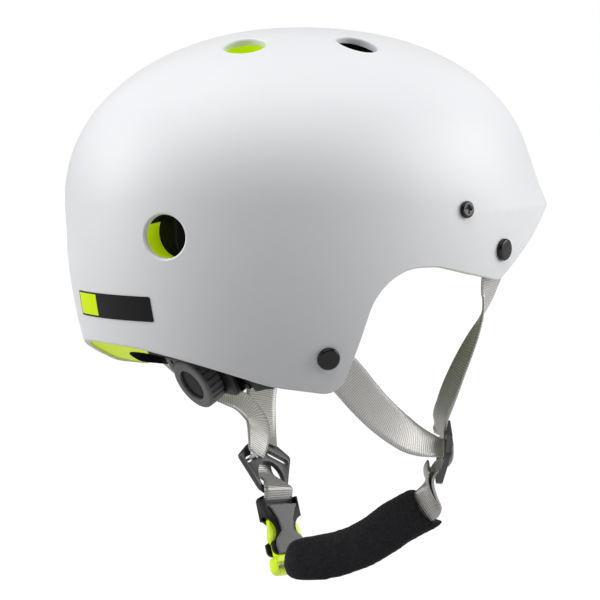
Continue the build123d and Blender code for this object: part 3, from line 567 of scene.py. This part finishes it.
def puffed(piece, cap):
    """piece blown up as cloth, no point further than cap millimetres from where it was."""
    scene = bpy.context.scene
    rest = coordinates(piece.data)
    cloth = piece.modifiers.new("cloth", "CLOTH")
    cloth.settings.use_pressure = True
    cloth.settings.uniform_pressure_force = cloth_pressure
    cloth.settings.effector_weights.gravity = 0
    for moment in range(cloth_frames):
        scene.frame_set(moment + 1)
    graph = bpy.context.evaluated_depsgraph_get()
    blown = piece.evaluated_get(graph).to_mesh()
    moved = coordinates(blown) - rest
    piece.evaluated_get(graph).to_mesh_clear()
    length = np.linalg.norm(moved, axis=1)
    moved *= np.minimum(1, cap / np.maximum(length, 1e-6))[:, None]
    piece.modifiers.clear()
    scene.frame_set(1)
    piece.data.vertices.foreach_set("co", ((rest + moved) * mm).ravel())
    piece.data.update()
    return piece


def held_off(piece, inset):
    """piece kept inside the dome set in by inset, flat against it where it would reach past."""
    points = coordinates(piece.data)
    for _ in range(2):
        gap, normal = dome_gap(points, inset)
        points -= normal * np.maximum(0, gap)[:, None]
    piece.data.vertices.foreach_set("co", (points * mm).ravel())
    piece.data.update()
    return piece


def subdivided(piece):
    """piece with smooth subdivision applied."""
    piece.data.shade_smooth()
    return changed(piece, "SUBSURF", levels=1, render_levels=1)


for node in ("crown_pad", "brow_pad", "rear_pad", "side_pad_left", "side_pad_right"):
    pad = puffed(evened(from_frame(node, f"{node}_cover"), pad_voxel, 6), pad_swell)
    pad = subdivided(held_off(pad, liner_inner + seat_gap))
    painted(pad, pad_fabric)
    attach(pad, "helmet")
    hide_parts(node)

# Rear label ------------------------------------------------------------------------------------
# A thin printed film on the back of the shell: a neon square beside a black field in a thin black
# border. Both fields are bare.
label_middle, label_half_height, label_border, label_blur = belt - 52.5, 6.5, 0.9, 0.08
neon_field, label_neon = (-1.0, 19.0), (0.74, 0.98, 0.0, 1)


def finished(node, material, bevel=0.25):
    """A CAD node with merged points, softened edges and its own material."""
    piece = nodes[node]
    weld = piece.modifiers.new("weld", "WELD")
    weld.merge_threshold = 0.00001
    if bevel:
        soften = piece.modifiers.new("soften", "BEVEL")
        soften.width = bevel * mm
        soften.segments = 2
        soften.limit_method = "ANGLE"
        soften.angle_limit = math.radians(30)
    shade = piece.modifiers.new("shade", "NODES")
    shade.node_group = shading_by_angle
    return painted(piece, material)


def shading_tree():
    """Geometry Nodes: smooth faces that stay sharp along edges past an angle."""
    inputs = (("Geometry", "Geometry", None), ("Sharp Angle", "Float", math.radians(32)))
    outputs = (("Geometry", "Geometry"),)
    tree, given, result = node_group("GeometryNodeTree", "shading_by_angle", inputs, outputs)
    smooth = add(tree, "GeometryNodeSetShadeSmooth")
    sharp = add(tree, "GeometryNodeSetShadeSmooth", ("Shade Smooth", False), domain="EDGE")
    edge = add(tree, "GeometryNodeInputMeshEdgeAngle")
    past = add(tree, "FunctionNodeCompare", data_type="FLOAT", operation="GREATER_THAN")
    wire(
        tree,
        (given["Geometry"], smooth.inputs["Geometry"]),
        (smooth.outputs["Geometry"], sharp.inputs["Geometry"]),
        (edge.outputs["Unsigned Angle"], past.inputs["A"]),
        (given["Sharp Angle"], past.inputs["B"]),
        (past.outputs["Result"], sharp.inputs["Selection"]),
        (sharp.outputs["Geometry"], result["Geometry"]),
    )
    return tree


shading_by_angle = shading_tree()


def within(tree, value, low, high):
    """1 where value is between low and high, with a hairline blur, as a node's output."""
    both = add(tree, "ShaderNodeMath", operation="MULTIPLY")
    for socket, start, stop in ((0, low, low + label_blur), (1, high + label_blur, high)):
        end = add(tree, "ShaderNodeMapRange", ("From Min", start * mm), ("From Max", stop * mm))
        wire(tree, (value, end.inputs["Value"]), (end.outputs["Result"], both.inputs[socket]))
    return both.outputs[0]


label_film = moulded(
    "label_film", (0.004, 0.004, 0.0045), (0.006, 0.006, 0.0065),
    0.5, 0.0009, 0.00001, 0.006, 0.05, **dull,
)
tree = label_film.node_tree
place_on = add(tree, "ShaderNodeTexCoord").outputs["Object"]
apart = add(tree, "ShaderNodeSeparateXYZ")
field = add(tree, "ShaderNodeMath", operation="MULTIPLY")
inside = label_half_height - label_border
sides = within(tree, apart.outputs["X"], neon_field[0], neon_field[1] - label_border)
ends = within(tree, apart.outputs["Z"], label_middle - inside, label_middle + inside)
paint = add(tree, "ShaderNodeMix", (7, label_neon), data_type="RGBA")
base_colour = tree.nodes["Principled BSDF"].inputs["Base Color"]
wire(
    tree,
    (place_on, apart.inputs[0]),
    (sides, field.inputs[0]),
    (ends, field.inputs[1]),
    (field.outputs[0], paint.inputs[0]),
    (base_colour.links[0].from_socket, paint.inputs[6]),
    (paint.outputs[2], base_colour),
)
finished("rear_label", label_film, 0.0)

# Rivets and temple screws ----------------------------------------------------------------------
# Low domed caps snapped over the strap rivets and painted screws that hold the cradle's posts,
# both glossy black. The rivets' backs are zinc plated washers behind the webbing.
satin = {"Specular_IOR_Level": 0.3}
black_gloss = moulded(
    "black_gloss", (0.003, 0.003, 0.003), (0.005, 0.005, 0.005),
    0.13, 0.0011, 0.000004, 0.004, 0.04, **satin,
)
zinc = moulded(
    "zinc", (0.5, 0.51, 0.53), (0.58, 0.59, 0.6), 0.34, 0.0004, 0.00001, 0.003, 0.08, Metallic=1.0
)
finished("strap_rivet_caps", black_gloss, 0.2)
finished("temple_screws", black_gloss, 0.15)
finished("strap_rivet_backs", zinc)

# Cradle and dial -------------------------------------------------------------------------------
# Matt black nylon arms run from the temple posts round the nape into a two-part housing. Its dial
# is a ring of grained mid-grey rubber over a hard core, with a plain black cap in its recess.
black_nylon = moulded(
    "black_nylon", (0.007, 0.007, 0.008), (0.012, 0.012, 0.013),
    0.42, 0.0004, 0.00003, 0.008, 0.08, **dull,
)
knob_rubber = moulded(
    "knob_rubber", (0.09, 0.09, 0.09), (0.17, 0.17, 0.17), 0.62, 0.0006, 0.00018, 0.0015, 0.08
)
for node in (
    "temple_posts",
    "cradle_arm_left",
    "cradle_arm_right",
    "dial_housing_base",
    "dial_housing_cover",
):
    finished(node, black_nylon, 0.35)
finished("dial_pinion", black_nylon, 0.1)
finished("dial_knob", knob_rubber, 0.3)
recess_black = moulded(
    "recess_black", (0.003, 0.003, 0.003), (0.005, 0.005, 0.005),
    0.5, 0.0004, 0.00003, 0.008, 0.08, **dull,
)
finished("dial_cap", recess_black, 0.2)

# Harness webbing -------------------------------------------------------------------------------
# Silver-grey polyester webbing, 20 mm wide, woven with ribs that run across it every 1.35 mm and
# turn over at smooth selvedges. The straps are riveted to the shell and pass through dividers.
webbing_width, webbing_thickness, rib_pitch, rib_depth = 20.0, 1.4, 1.35, 0.14
strap_tail, strap_dip, strap_exit, rivet_cap_radius, curve_steps = 9.0, 1.5, 17.0, 6.0, 40
strap_depth = shell_wall + 1.1 + webbing_thickness / 2
divider_height, divider_thickness, divider_slot_length = 31.0, 3.0, 17.0
divider_slot_out, divider_slot_up, divider_slot_angle = 9.8, 7.0, 22.0


def plane(origin, x_dir, z_dir):
    """Origin and three square directions, y turned to point upwards."""
    z = z_dir.normalized()
    x = (x_dir - z * x_dir.dot(z)).normalized()
    y = z.cross(x)
    return (origin, x, y, z) if y.z > 0 else (origin, -x, -y, z)


def on(at, x, y, z):
    """A point in a plane's own axes."""
    return at[0] + at[1] * x + at[2] * y + at[3] * z


def rivet_plane(forward, rise, side, across):
    """Plane on the shell at a rivet: x across the webbing, y up it, z out of the shell."""
    point, normal = dome_spot(forward, side, rise, "right")
    upward = normal.cross(across)
    upward = upward if upward.z > 0 else -upward
    return (point, upward.cross(normal).normalized(), upward.normalized(), normal)


def rivet_end(at):
    """Stations of a strap's flat end under its rivet."""
    return [
        (on(at, 0, strap_tail, -strap_depth), at[1], webbing_width),
        (on(at, 0, -rivet_cap_radius - 1, -strap_depth), at[1], webbing_width),
        (on(at, 0, -strap_exit, -strap_depth - strap_dip), at[1], webbing_width),
    ]


def slot_end(at, side, inner):
    """Stations of a strap through a divider's slot, from its inner face to its outer."""
    turn = math.radians(divider_slot_angle)
    across = at[1] * math.cos(turn) - at[2] * (side * math.sin(turn))
    x, y, face = side * divider_slot_out, divider_slot_up, divider_thickness / 2
    depths = (2 * face, face + 0.4, -face - 0.3)
    return [(on(at, x, y, inner * z), across, divider_slot_length - 3) for z in depths]


def free(forward, right, rise, across):
    """A station of webbing in the open."""
    return place(forward, right, rise), heading(*across), webbing_width


def over_divider(x, above, inwards):
    """A station just above the left divider's top edge, on its inner side."""
    spot = on(divider_left, x, divider_height / 2 + above, inwards)
    return spot, divider_left[1], webbing_width - 3


def divider_loop(at, inner, left_out=0):
    """Stations of webbing over a divider's outer face and in at its opening."""
    turns = [(8.5, -3.0), (2.5, -4.4), (-2.5, -3.8), (-5.6, -0.8), (-9.6, 3.0), (-15.0, 3.9)]
    turns = turns[: len(turns) - left_out]
    return [(on(at, 0, y, inner * z), at[1], webbing_width - 4) for y, z in turns]


def smooth_run(stations, step):
    """Even points, directions across, sizes and distances along the curve that stations steer."""
    data = np.array([[*point, *across, *sizes] for point, across, *sizes in stations])
    for row in range(1, len(data)):
        if data[row, 3:6] @ data[row - 1, 3:6] < 0:
            data[row, 3:6] *= -1
    middles = [data[0], *((data[1:-2] + data[2:-1]) / 2), data[-1]]
    run = []
    for index in range(len(middles) - 1):
        for share in np.linspace(0, 1, curve_steps, endpoint=False):
            near = (1 - share) ** 2 * middles[index] + share**2 * middles[index + 1]
            run.append(near + 2 * share * (1 - share) * data[index + 1])
    run = np.array([*run, data[-1]])
    length = np.concatenate([[0], np.cumsum(np.linalg.norm(np.diff(run[:, :3], axis=0), axis=1))])
    even = np.linspace(0, length[-1], max(8, int(length[-1] / step)))
    run = np.stack([np.interp(even, length, column) for column in run.T], axis=1)
    return run[:, :3], run[:, 3:6], run[:, 6:], even


def squared(points, across):
    """Unit directions ahead and across at each point of a run, and those square to both."""
    ahead = np.gradient(points, axis=0)
    ahead /= np.linalg.norm(ahead, axis=1)[:, None]
    across = across - ahead * np.sum(across * ahead, axis=1)[:, None]
    across /= np.linalg.norm(across, axis=1)[:, None]
    return ahead, across, np.cross(ahead, across)


def webbing_strip(name, stations):
    """Flat strip with rounded selvedges along its stations, its length kept in an attribute."""
    points, across, widths, even = smooth_run(stations, rib_pitch / 5)
    _, across, up = squared(points, across)
    half = webbing_thickness / 2
    profile = [(1 - t, half) for t in np.linspace(0.02, 1.98, 9)]
    profile = [(1.0, 0.0)] + profile + [(-1.0, 0.0)] + [(-x, -y) for x, y in profile]
    rings, along, edge = [], [], []
    for point, side, normal, (width,), run in zip(points, across, up, widths, even):
        inner = width / 2 - half * 0.6
        spots = [(x * (inner if y else width / 2), y) for x, y in profile]
        rings.append(np.array([point + side * x + normal * y for x, y in spots]))
        along += [run * mm] * len(profile)
        edge += [1 - abs(x) ** 6 if y else 0.0 for x, y in profile]
    piece = tube_mesh(name, rings, points[0], points[-1])
    for label, values in (("along", along + [0, even[-1] * mm]), ("web_face", edge + [0, 0])):
        store = piece.data.attributes.new(label, "FLOAT", "POINT")
        store.data.foreach_set("value", values)
    piece.data.shade_smooth()
    return piece


def painted_end(tree, shape, given, result):
    """The end of a tree: instances made real, then its material set."""
    real, paint = add(tree, "GeometryNodeRealizeInstances"), add(tree, "GeometryNodeSetMaterial")
    wire(
        tree,
        (shape, real.inputs["Geometry"]),
        (real.outputs["Geometry"], paint.inputs["Geometry"]),
        (given["Material"], paint.inputs["Material"]),
        (paint.outputs["Geometry"], result["Geometry"]),
    )
    return tree


def ribbed_webbing():
    """Geometry Nodes: ribs raised across a strip by how far along it each point is."""
    inputs = (
        ("Geometry", "Geometry", None),
        ("Rib Pitch", "Float", rib_pitch * mm),
        ("Rib Depth", "Float", rib_depth * mm),
        ("Material", "Material", None),
    )
    outputs = (("Geometry", "Geometry"),)
    tree, given, result = node_group("GeometryNodeTree", "webbing_ribs", inputs, outputs)

    def named(label):
        node = add(tree, "GeometryNodeInputNamedAttribute", ("Name", label), data_type="FLOAT")
        return node.outputs["Attribute"]

    def math_node(operation, *inputs):
        node = add(tree, "ShaderNodeMath", operation=operation)
        for socket, value in zip(node.inputs, inputs):
            if isinstance(value, (int, float)):
                socket.default_value = value
            else:
                wire(tree, (value, socket))
        return node.outputs[0]

    turn = math_node("MULTIPLY", math_node("DIVIDE", named("along"), given["Rib Pitch"]), math.pi)
    crest = math_node("ABSOLUTE", math_node("SINE", turn))
    height = math_node("MULTIPLY", math_node("SUBTRACT", crest, 0.6), named("web_face"))
    # The crest height is kept as "rib" for the painted shade in the webbing's grooves.
    kept = {"data_type": "FLOAT", "domain": "POINT"}
    keep = add(tree, "GeometryNodeStoreNamedAttribute", ("Name", "rib"), **kept)
    normal = add(tree, "GeometryNodeInputNormal")
    scale = add(tree, "ShaderNodeVectorMath", operation="SCALE")
    move = add(tree, "GeometryNodeSetPosition")
    wire(
        tree,
        (given["Geometry"], keep.inputs["Geometry"]),
        (crest, keep.inputs["Value"]),
        (normal.outputs[0], scale.inputs[0]),
        (math_node("MULTIPLY", height, given["Rib Depth"]), scale.inputs["Scale"]),
        (keep.outputs["Geometry"], move.inputs["Geometry"]),
        (scale.outputs[0], move.inputs["Offset"]),
    )
    return painted_end(tree, move.outputs["Geometry"], given, result)


webbing_ribs = ribbed_webbing()


def grown(piece, tree, **values):
    """piece with a Geometry Nodes tree applied, its named inputs set by their identifiers."""
    change = piece.modifiers.new("grow", "NODES")
    change.node_group = tree
    for item in tree.interface.items_tree:
        key = item.name.replace(" ", "_").lower()
        if item.item_type == "SOCKET" and item.in_out == "INPUT" and key in values:
            change[item.identifier] = values[key]
    return applied(piece)


def webbing_material():
    """Polyester webbing: painted shade darkens the grooves between the ribs, fine yarns, a soft
    sheen.
    """
    colours = (0.46, 0.445, 0.43), (0.56, 0.545, 0.525)
    finish = {"Metallic": 0.4, "Sheen_Weight": 0.25}
    material = moulded("webbing", *colours, 0.4, 0.0003, 0.00004, 0.01, 0.08, **finish)
    tree = material.node_tree
    shader = tree.nodes["Principled BSDF"]
    # Painted shade: the base colour is multiplied down where the stored rib height is low, in the
    # grooves.
    rib = add(tree, "ShaderNodeAttribute", attribute_name="rib")
    curve = add(tree, "ShaderNodeMapRange", ("From Max", 0.8), ("To Min", 0.42))
    shade = add(tree, "ShaderNodeMix", (0, 1.0), data_type="RGBA", blend_type="MULTIPLY")
    wire(
        tree,
        (rib.outputs["Fac"], curve.inputs["Value"]),
        (shader.inputs["Base Color"].links[0].from_socket, shade.inputs[6]),
        (curve.outputs["Result"], shade.inputs[7]),
        (shade.outputs[2], shader.inputs["Base Color"]),
    )
    return material


webbing = webbing_material()


def woven(name, stations, node, body="helmet"):
    """A finished webbing strap that stands for a CAD node."""
    strip = grown(webbing_strip(name, stations), webbing_ribs, material=webbing)
    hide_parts(node)
    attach(strip, body)


front_across, rear_across = Vector((0, -1, 0)), heading(-0.68, 0, -0.73)
front_right, front_left = (rivet_plane(57.5, -25.5, side, front_across) for side in (1, -1))
rear_right, rear_left = (rivet_plane(-51.5, -77.5, side, rear_across) for side in (1, -1))
divider_right = plane(
    place(39.3, 75.0, -137.0), heading(0.574, -0.785, 0.238), heading(0.82, 0.55, -0.165)
)
divider_left = plane(
    place(17.5, -59.7, -161.2), heading(0.975, -0.155, -0.16), heading(0.23, 0.84, 0.49)
)


def front_side(at):
    """Which side of a divider its front slot is on."""
    return 1 if at[1].y < 0 else -1


front = front_side(divider_right)
woven(
    "rear_webbing_right",
    rivet_end(rear_right)
    + [
        free(-18.4, 84.8, -105.1, (-0.75, -0.1, -0.65)),
        free(-1.4, 82.5, -117.6, (-0.82, 0.15, -0.55)),
        free(13.6, 81.3, -126.3, (-0.79, 0.31, -0.53)),
    ]
    + slot_end(divider_right, -front, -1),
    "rear_strap_right",
)
woven(
    "front_webbing_right",
    rivet_end(front_right)
    + [
        free(57.0, 90.0, -54.5, (0.77, -0.64, -0.08)),
        free(47.0, 89.5, -73.2, (0.35, -0.93, -0.1)),
        free(40.2, 85.5, -90.8, (0.21, -0.97, -0.11)),
        free(36.5, 80.5, -106.9, (0.19, -0.98, -0.12)),
        free(36.0, 75.5, -118.0, (0.35, -0.93, -0.12)),
    ]
    + slot_end(divider_right, front, -1),
    "front_strap_right",
)
front = front_side(divider_left)
woven(
    "rear_webbing_left",
    rivet_end(rear_left)
    + [
        free(-12.0, -85.5, -108.3, (-0.66, 0.3, -0.62)),
        free(2.4, -81.0, -117.8, (-0.63, 0.62, -0.45)),
        free(10.6, -79.0, -121.7, (-0.66, 0.6, -0.42)),
        free(16.5, -75.5, -128.1, (-0.8, 0.49, -0.3)),
        free(19.0, -71.0, -135.0, (-0.9, 0.4, -0.12)),
        over_divider(-front * (divider_slot_out - 4), 2.0, 4.7),
    ]
    + slot_end(divider_left, -front, 1),
    "rear_strap_left",
)
woven(
    "front_webbing_left",
    rivet_end(front_left)
    + [
        free(50.0, -93.0, -66.0, (0.95, 0.25, -0.08)),
        free(30.5, -86.0, -117.0, (0.96, 0.2, -0.05)),
        free(25.0, -76.5, -140.8, (0.97, 0.1, -0.12)),
        over_divider(front * 2, 0.7, 2.0),
    ],
    "front_strap_left",
)

# Dividers --------------------------------------------------------------------------------------
# Flat moulded plates of dark grey acetal that gather the front and rear straps of each side.
divider_grey = moulded(
    "divider_grey", (0.032, 0.032, 0.036), (0.05, 0.05, 0.055), 0.42, 0.0004, 0.00004, 0.006, 0.08
)
finished("strap_divider_left", divider_grey, 0.5)
finished("strap_divider_right", divider_grey, 0.5)

# Buckle ----------------------------------------------------------------------------------------
# Side-release buckle: a black acetal female half under a grained grey cover, and a neon male half
# whose two springy prongs show at its sides. Webbing folds over the bar at its top.
buckle_length, buckle_thickness, buckle_top = 36.0, 8.6, 22.0
buckle_bar, buckle_slot, male_length, male_gap = 2.8, 4.2, 11.0, 0.3
buckle_plane = plane(place(15.2, -40.8, -195.0), heading(1, 0.02, -0.04), heading(0, 0.91, 0.41))
buckle_half = buckle_thickness / 2
buckle_slot_at = buckle_top - buckle_bar - buckle_slot / 2
male_top = buckle_top - buckle_length - male_gap
male_slot_at = male_top - male_length / 2 - 1.0


def at_buckle(y, z):
    """A station of webbing square to the buckle, on its middle line."""
    return on(buckle_plane, 0, y, z), buckle_plane[1], webbing_width


woven(
    "buckle_webbing",
    divider_loop(divider_left, 1, 1)
    + [
        at_buckle(buckle_top + 3.0, buckle_half + 0.7),
        at_buckle(buckle_top - 0.4, buckle_half - 1.1),
        at_buckle(buckle_slot_at + 0.6, 0.8),
        at_buckle(buckle_slot_at, -buckle_half),
    ],
    "buckle_strap",
)
buckle_black = moulded(
    "buckle_black", (0.008, 0.008, 0.009), (0.013, 0.013, 0.014),
    0.36, 0.0005, 0.00003, 0.006, 0.06, **dull,
)
cover_grey = moulded(
    "cover_grey", (0.16, 0.16, 0.172), (0.24, 0.24, 0.252), 0.55, 0.0005, 0.00016, 0.004, 0.08
)
# The neon plastic carries the same painted glow.
neon_plastic = moulded(
    "neon_plastic", (0.7, 0.92, 0.0), (0.76, 0.98, 0.005),
    0.34, 0.0006, 0.00002, 0.008, 0.06, **painted_neon_glow,
)
finished("buckle_body", buckle_black, 0.45)
finished("buckle_cover_plate", cover_grey, 0.25)
finished("buckle_male", neon_plastic, 0.6)
finished("release_prong_front", neon_plastic, 0.4)
finished("release_prong_rear", neon_plastic, 0.4)

# Chin pad --------------------------------------------------------------------------------------
# A soft tube of brushed charcoal fabric over foam that the chin webbing runs into. Its left end is
# gathered round, its right end is an open mouth with a stitched flap folded over its lower edge.
pad_wall, pad_pocket, flap_length, flap_run = 3.4, 14.0, 6.5, 9.0
tube_step, tube_turns, chin_voxel, chin_swell = 1.0, 48, 0.0021, 1.2
crease_size, crease_height, chin_sheen = 0.011, 0.0009, 0.12
stitch_setback, stitch_lift, stitch_spots, stitch_arc = 3.0, 0.0002, 24, (112, 248)
chin_line = [
    (place(1.8, -21.0, -205.5), (0.0, -0.1, 1.0), 15.0, 7.0),
    (place(3.0, -18.0, -205.8), (0.0, -0.1, 1.0), 21.0, 10.5),
    (place(6.2, -11.0, -206.0), (0.0, -0.1, 1.0), 25.5, 12.5),
    (place(16.8, 2.0, -202.6), (-0.1, -0.15, 1.0), 27.0, 13.0),
    (place(25.4, 16.0, -196.5), (-0.25, -0.25, 0.93), 27.0, 13.0),
    (place(32.6, 30.0, -187.0), (-0.35, -0.33, 0.88), 27.0, 13.0),
    (place(38.7, 42.0, -176.8), (-0.4, -0.38, 0.83), 27.0, 13.0),
    (place(44.8, 52.0, -170.9), (-0.4, -0.4, 0.82), 26.0, 12.0),
]


def chin_plane(index):
    """Plane across the chin pad at one of its stations, x along its wide side, z along it."""
    before = chin_line[max(0, index - 1)][0]
    after = chin_line[min(len(chin_line) - 1, index + 1)][0]
    z = (after - before).normalized()
    across = heading(*chin_line[index][1])
    x = (across - z * across.dot(z)).normalized()
    return chin_line[index][0], x, z.cross(x), z


def oval_ring(point, side, normal, wide, thick, power=2.5):
    """Ring of a soft rounded cross-section."""
    angle = 2 * np.pi * np.arange(tube_turns) / tube_turns
    x = np.sign(np.cos(angle)) * np.abs(np.cos(angle)) ** (2 / power) * wide / 2
    y = np.sign(np.sin(angle)) * np.abs(np.sin(angle)) ** (2 / power) * thick / 2
    return point + side * x[:, None] + normal * y[:, None]


def chin_tube():
    """The pad's skin: out from its round end to the mouth, round the lip and into the pocket."""
    stations = [(point, heading(*across), wide, thick) for point, across, wide, thick in chin_line]
    points, across, sizes, even = smooth_run(stations, tube_step)
    ahead, across, up = squared(points, across)
    low_side = np.maximum(0, -np.cos(2 * np.pi * np.arange(tube_turns) / tube_turns))[:, None] ** 2
    flap = [flap_length * max(0, 1 - (even[-1] - run) / flap_run) ** 2 * low_side for run in even]
    rings = []
    for index, (wide, thick) in enumerate(sizes):
        round_end = math.sqrt(max(0.02, 1 - max(0, 1 - even[index] / 5) ** 2))
        sides = (points[index], across[index], up[index], wide * round_end, thick * round_end)
        rings.append(oval_ring(*sides) + ahead[index] * flap[index])
    inside = [run for run in range(len(even)) if even[run] > even[-1] - pad_pocket][::-1]
    for run in inside:
        wide, thick = sizes[run] - 2 * pad_wall
        ring = oval_ring(points[run], across[run], up[run], wide, thick, power=4)
        rings.append(ring + ahead[run] * flap[run])
    return tube_mesh("chin_pad_cover", rings, points[0], points[inside[-1]])


chin_fabric = moulded(
    "chin_fabric", (0.003, 0.003, 0.004), (0.04, 0.04, 0.046),
    0.9, 0.0007, 0.00035, 0.0014, 0.05, Sheen_Weight=chin_sheen, **dull,
)
chin_pad = subdivided(puffed(evened(chin_tube(), chin_voxel, 4), chin_swell))
creases = bpy.data.textures.new("creases", "CLOUDS")
creases.noise_scale = crease_size
changed(chin_pad, "DISPLACE", texture=creases, texture_coords="LOCAL", strength=crease_height)


def stitch_tree():
    """Geometry Nodes: short threads laid end to end, with gaps, along a chain of edges."""
    inputs = (
        ("Geometry", "Geometry", None),
        ("Stitch Pitch", "Float", 0.0034),
        ("Stitch Length", "Float", 0.0021),
        ("Thread Radius", "Float", 0.0004),
        ("Material", "Material", None),
    )
    outputs = (("Geometry", "Geometry"),)
    tree, given, result = node_group("GeometryNodeTree", "stitch_row", inputs, outputs)
    curve = add(tree, "GeometryNodeMeshToCurve")
    spots = add(tree, "GeometryNodeCurveToPoints", mode="LENGTH")
    thread = add(tree, "GeometryNodeMeshCylinder", ("Vertices", 8))
    lay = add(tree, "GeometryNodeInstanceOnPoints")
    wire(
        tree,
        (given["Geometry"], curve.inputs[0]),
        (curve.outputs[0], spots.inputs[0]),
        (given["Stitch Pitch"], spots.inputs["Length"]),
        (given["Thread Radius"], thread.inputs["Radius"]),
        (given["Stitch Length"], thread.inputs["Depth"]),
        (spots.outputs["Points"], lay.inputs["Points"]),
        (spots.outputs["Rotation"], lay.inputs["Rotation"]),
        (thread.outputs["Mesh"], lay.inputs["Instance"]),
    )
    return painted_end(tree, lay.outputs["Instances"], given, result)


def stitch_row():
    """White stitches that follow the flap inside the mouth, a little back from its edge."""
    point, x, y, z = chin_plane(len(chin_line) - 1)
    wide, thick = chin_line[-1][2] / 2 - pad_wall - 1, chin_line[-1][3] / 2 - pad_wall - 1
    spots = []
    for turn in np.linspace(*np.radians(stitch_arc), stitch_spots):
        reach = flap_length * math.cos(turn) ** 2 - stitch_setback
        start = point + x * (wide * math.cos(turn)) + y * (thick * math.sin(turn)) + z * reach
        _, spot, normal, _ = chin_pad.closest_point_on_mesh(start * mm)
        spots.append(spot + normal * stitch_lift)
    mesh = bpy.data.meshes.new("stitch_line")
    mesh.from_pydata(spots, [(i, i + 1) for i in range(len(spots) - 1)], [])
    return put("stitch_line", mesh)


thread_white = moulded(
    "thread_white", (0.7, 0.7, 0.7), (0.8, 0.8, 0.8), 0.6, 0.0004, 0.00003, 0.006, 0.05
)
bpy.context.view_layer.update()
stitches = grown(stitch_row(), stitch_tree(), material=thread_white)
for item in stitches.data.polygons:
    item.material_index = 1
chin_pad = joined([chin_pad, stitches], "chin_pad_cover")
painted(chin_pad, chin_fabric, thread_white)
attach(chin_pad, "chin")
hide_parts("chin_pad")

# Chin webbing ----------------------------------------------------------------------------------
# The strap from the buckle's male half enters the pad's round end. On the wearer's right two plies,
# folded over the divider, run into the pad's mouth.
entry_width, ply_gap = 12.0, webbing_thickness + 0.9
pad_flank, pad_mouth = chin_plane(2), chin_plane(len(chin_line) - 1)
flank_side = 1 if pad_flank[2].x > 0 else -1
flank_out = flank_side * (chin_line[2][3] / 2 + 0.3)
woven(
    "chin_webbing_left",
    [
        at_buckle(male_slot_at, -buckle_half),
        at_buckle(male_slot_at, buckle_half + 0.5),
        (on(pad_flank, 0, flank_out + 3 * flank_side, 0), pad_flank[3], entry_width),
        (on(pad_flank, 0, flank_out - flank_side, 0), pad_flank[3], entry_width),
    ],
    "chin_strap_left",
    "chin",
)


def into_mouth(offset):
    """Stations of webbing from in front of the pad's mouth to inside it."""
    return [(on(pad_mouth, 0, offset, z), pad_mouth[1], webbing_width - 1) for z in (8.0, -9.0)]


folded = divider_loop(divider_right, -1) + into_mouth(ply_gap / 2)
inner_ply = [
    (on(divider_right, 0, -8.5, -6.4), divider_right[1], webbing_width - 4),
    (on(divider_right, 0, -14.5, -8.0), divider_right[1], webbing_width - 3),
    *into_mouth(-ply_gap / 2),
]
plies = [webbing_strip("ply", stations) for stations in (folded, inner_ply)]
plies = grown(joined(plies, "chin_webbing_right"), webbing_ribs, material=webbing)
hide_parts("chin_strap_right")
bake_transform(plies)

# Studio ----------------------------------------------------------------------------------------
# A pale floor below the helmet, a wide soft light overhead and weak fills round it.
floor_drop, floor_glow, floor_share, ambient_light = 0.05, 1.05, 0.985, 0.18
floor_mesh = bpy.data.meshes.new("floor")
far, low = 6, cad_box[0].z - floor_drop
floor_corners = [(x * far, y * far, low) for x, y in ((-1, -1), (1, -1), (1, 1), (-1, 1))]
floor_mesh.from_pydata(floor_corners, [], [(0, 1, 2, 3)])
floor = put("floor", floor_mesh)
pale = bpy.data.materials.new("pale_floor")
pale.use_nodes = True
tree = pale.node_tree
floor_look = ("Base Color", (0.35, 0.35, 0.35, 1)), ("Roughness", 0.9)
matt = preset(tree.nodes["Principled BSDF"], *floor_look)
glow = add(tree, "ShaderNodeEmission", ("Strength", floor_glow))
rays = add(tree, "ShaderNodeLightPath")
seen = add(tree, "ShaderNodeMath", operation="MAXIMUM")
share = add(tree, "ShaderNodeMath", (1, floor_share), operation="MULTIPLY")
mixed = add(tree, "ShaderNodeMixShader")
wire(
    tree,
    (rays.outputs["Is Camera Ray"], seen.inputs[0]),
    (rays.outputs["Is Glossy Ray"], seen.inputs[1]),
    (seen.outputs[0], share.inputs[0]),
    (share.outputs[0], mixed.inputs[0]),
    (matt.outputs[0], mixed.inputs[1]),
    (glow.outputs[0], mixed.inputs[2]),
    (mixed.outputs[0], tree.nodes["Material Output"].inputs["Surface"]),
)
painted(floor, pale)

world = bpy.data.worlds.new("studio")
bpy.context.scene.world = world
world.use_nodes = True
tree = world.node_tree
pure_white = ("Color", (1, 1, 1, 1))
ambient = preset(tree.nodes["Background"], pure_white, ("Strength", ambient_light))
white = add(tree, "ShaderNodeBackground", pure_white)
rays = add(tree, "ShaderNodeLightPath")
mixed = add(tree, "ShaderNodeMixShader")
wire(
    tree,
    (rays.outputs["Is Camera Ray"], mixed.inputs[0]),
    (ambient.outputs[0], mixed.inputs[1]),
    (white.outputs[0], mixed.inputs[2]),
    (mixed.outputs[0], tree.nodes["World Output"].inputs["Surface"]),
)


def softbox(name, position, aim, width, power):
    """Square area light at a position in metres, facing a point."""
    data = bpy.data.lights.new(name, "AREA")
    data.size = width
    data.energy = power
    lamp = put(name, data)
    lamp.location = position
    lamp.rotation_euler = (Vector(aim) - Vector(position)).to_track_quat("-Z", "Y").to_euler()


softbox("overhead", (-0.25, 0.3, 1.25), (0, 0, -0.1), 1.5, 16.5)
softbox("front", (-0.76, -1.04, 0.3), (0, 0, -0.1), 0.9, 13.0)
softbox("rear_left", (0.52, 1.12, 0.3), (0, 0, -0.1), 0.9, 10.0)

bpy.context.scene.view_settings.view_transform = "Standard"
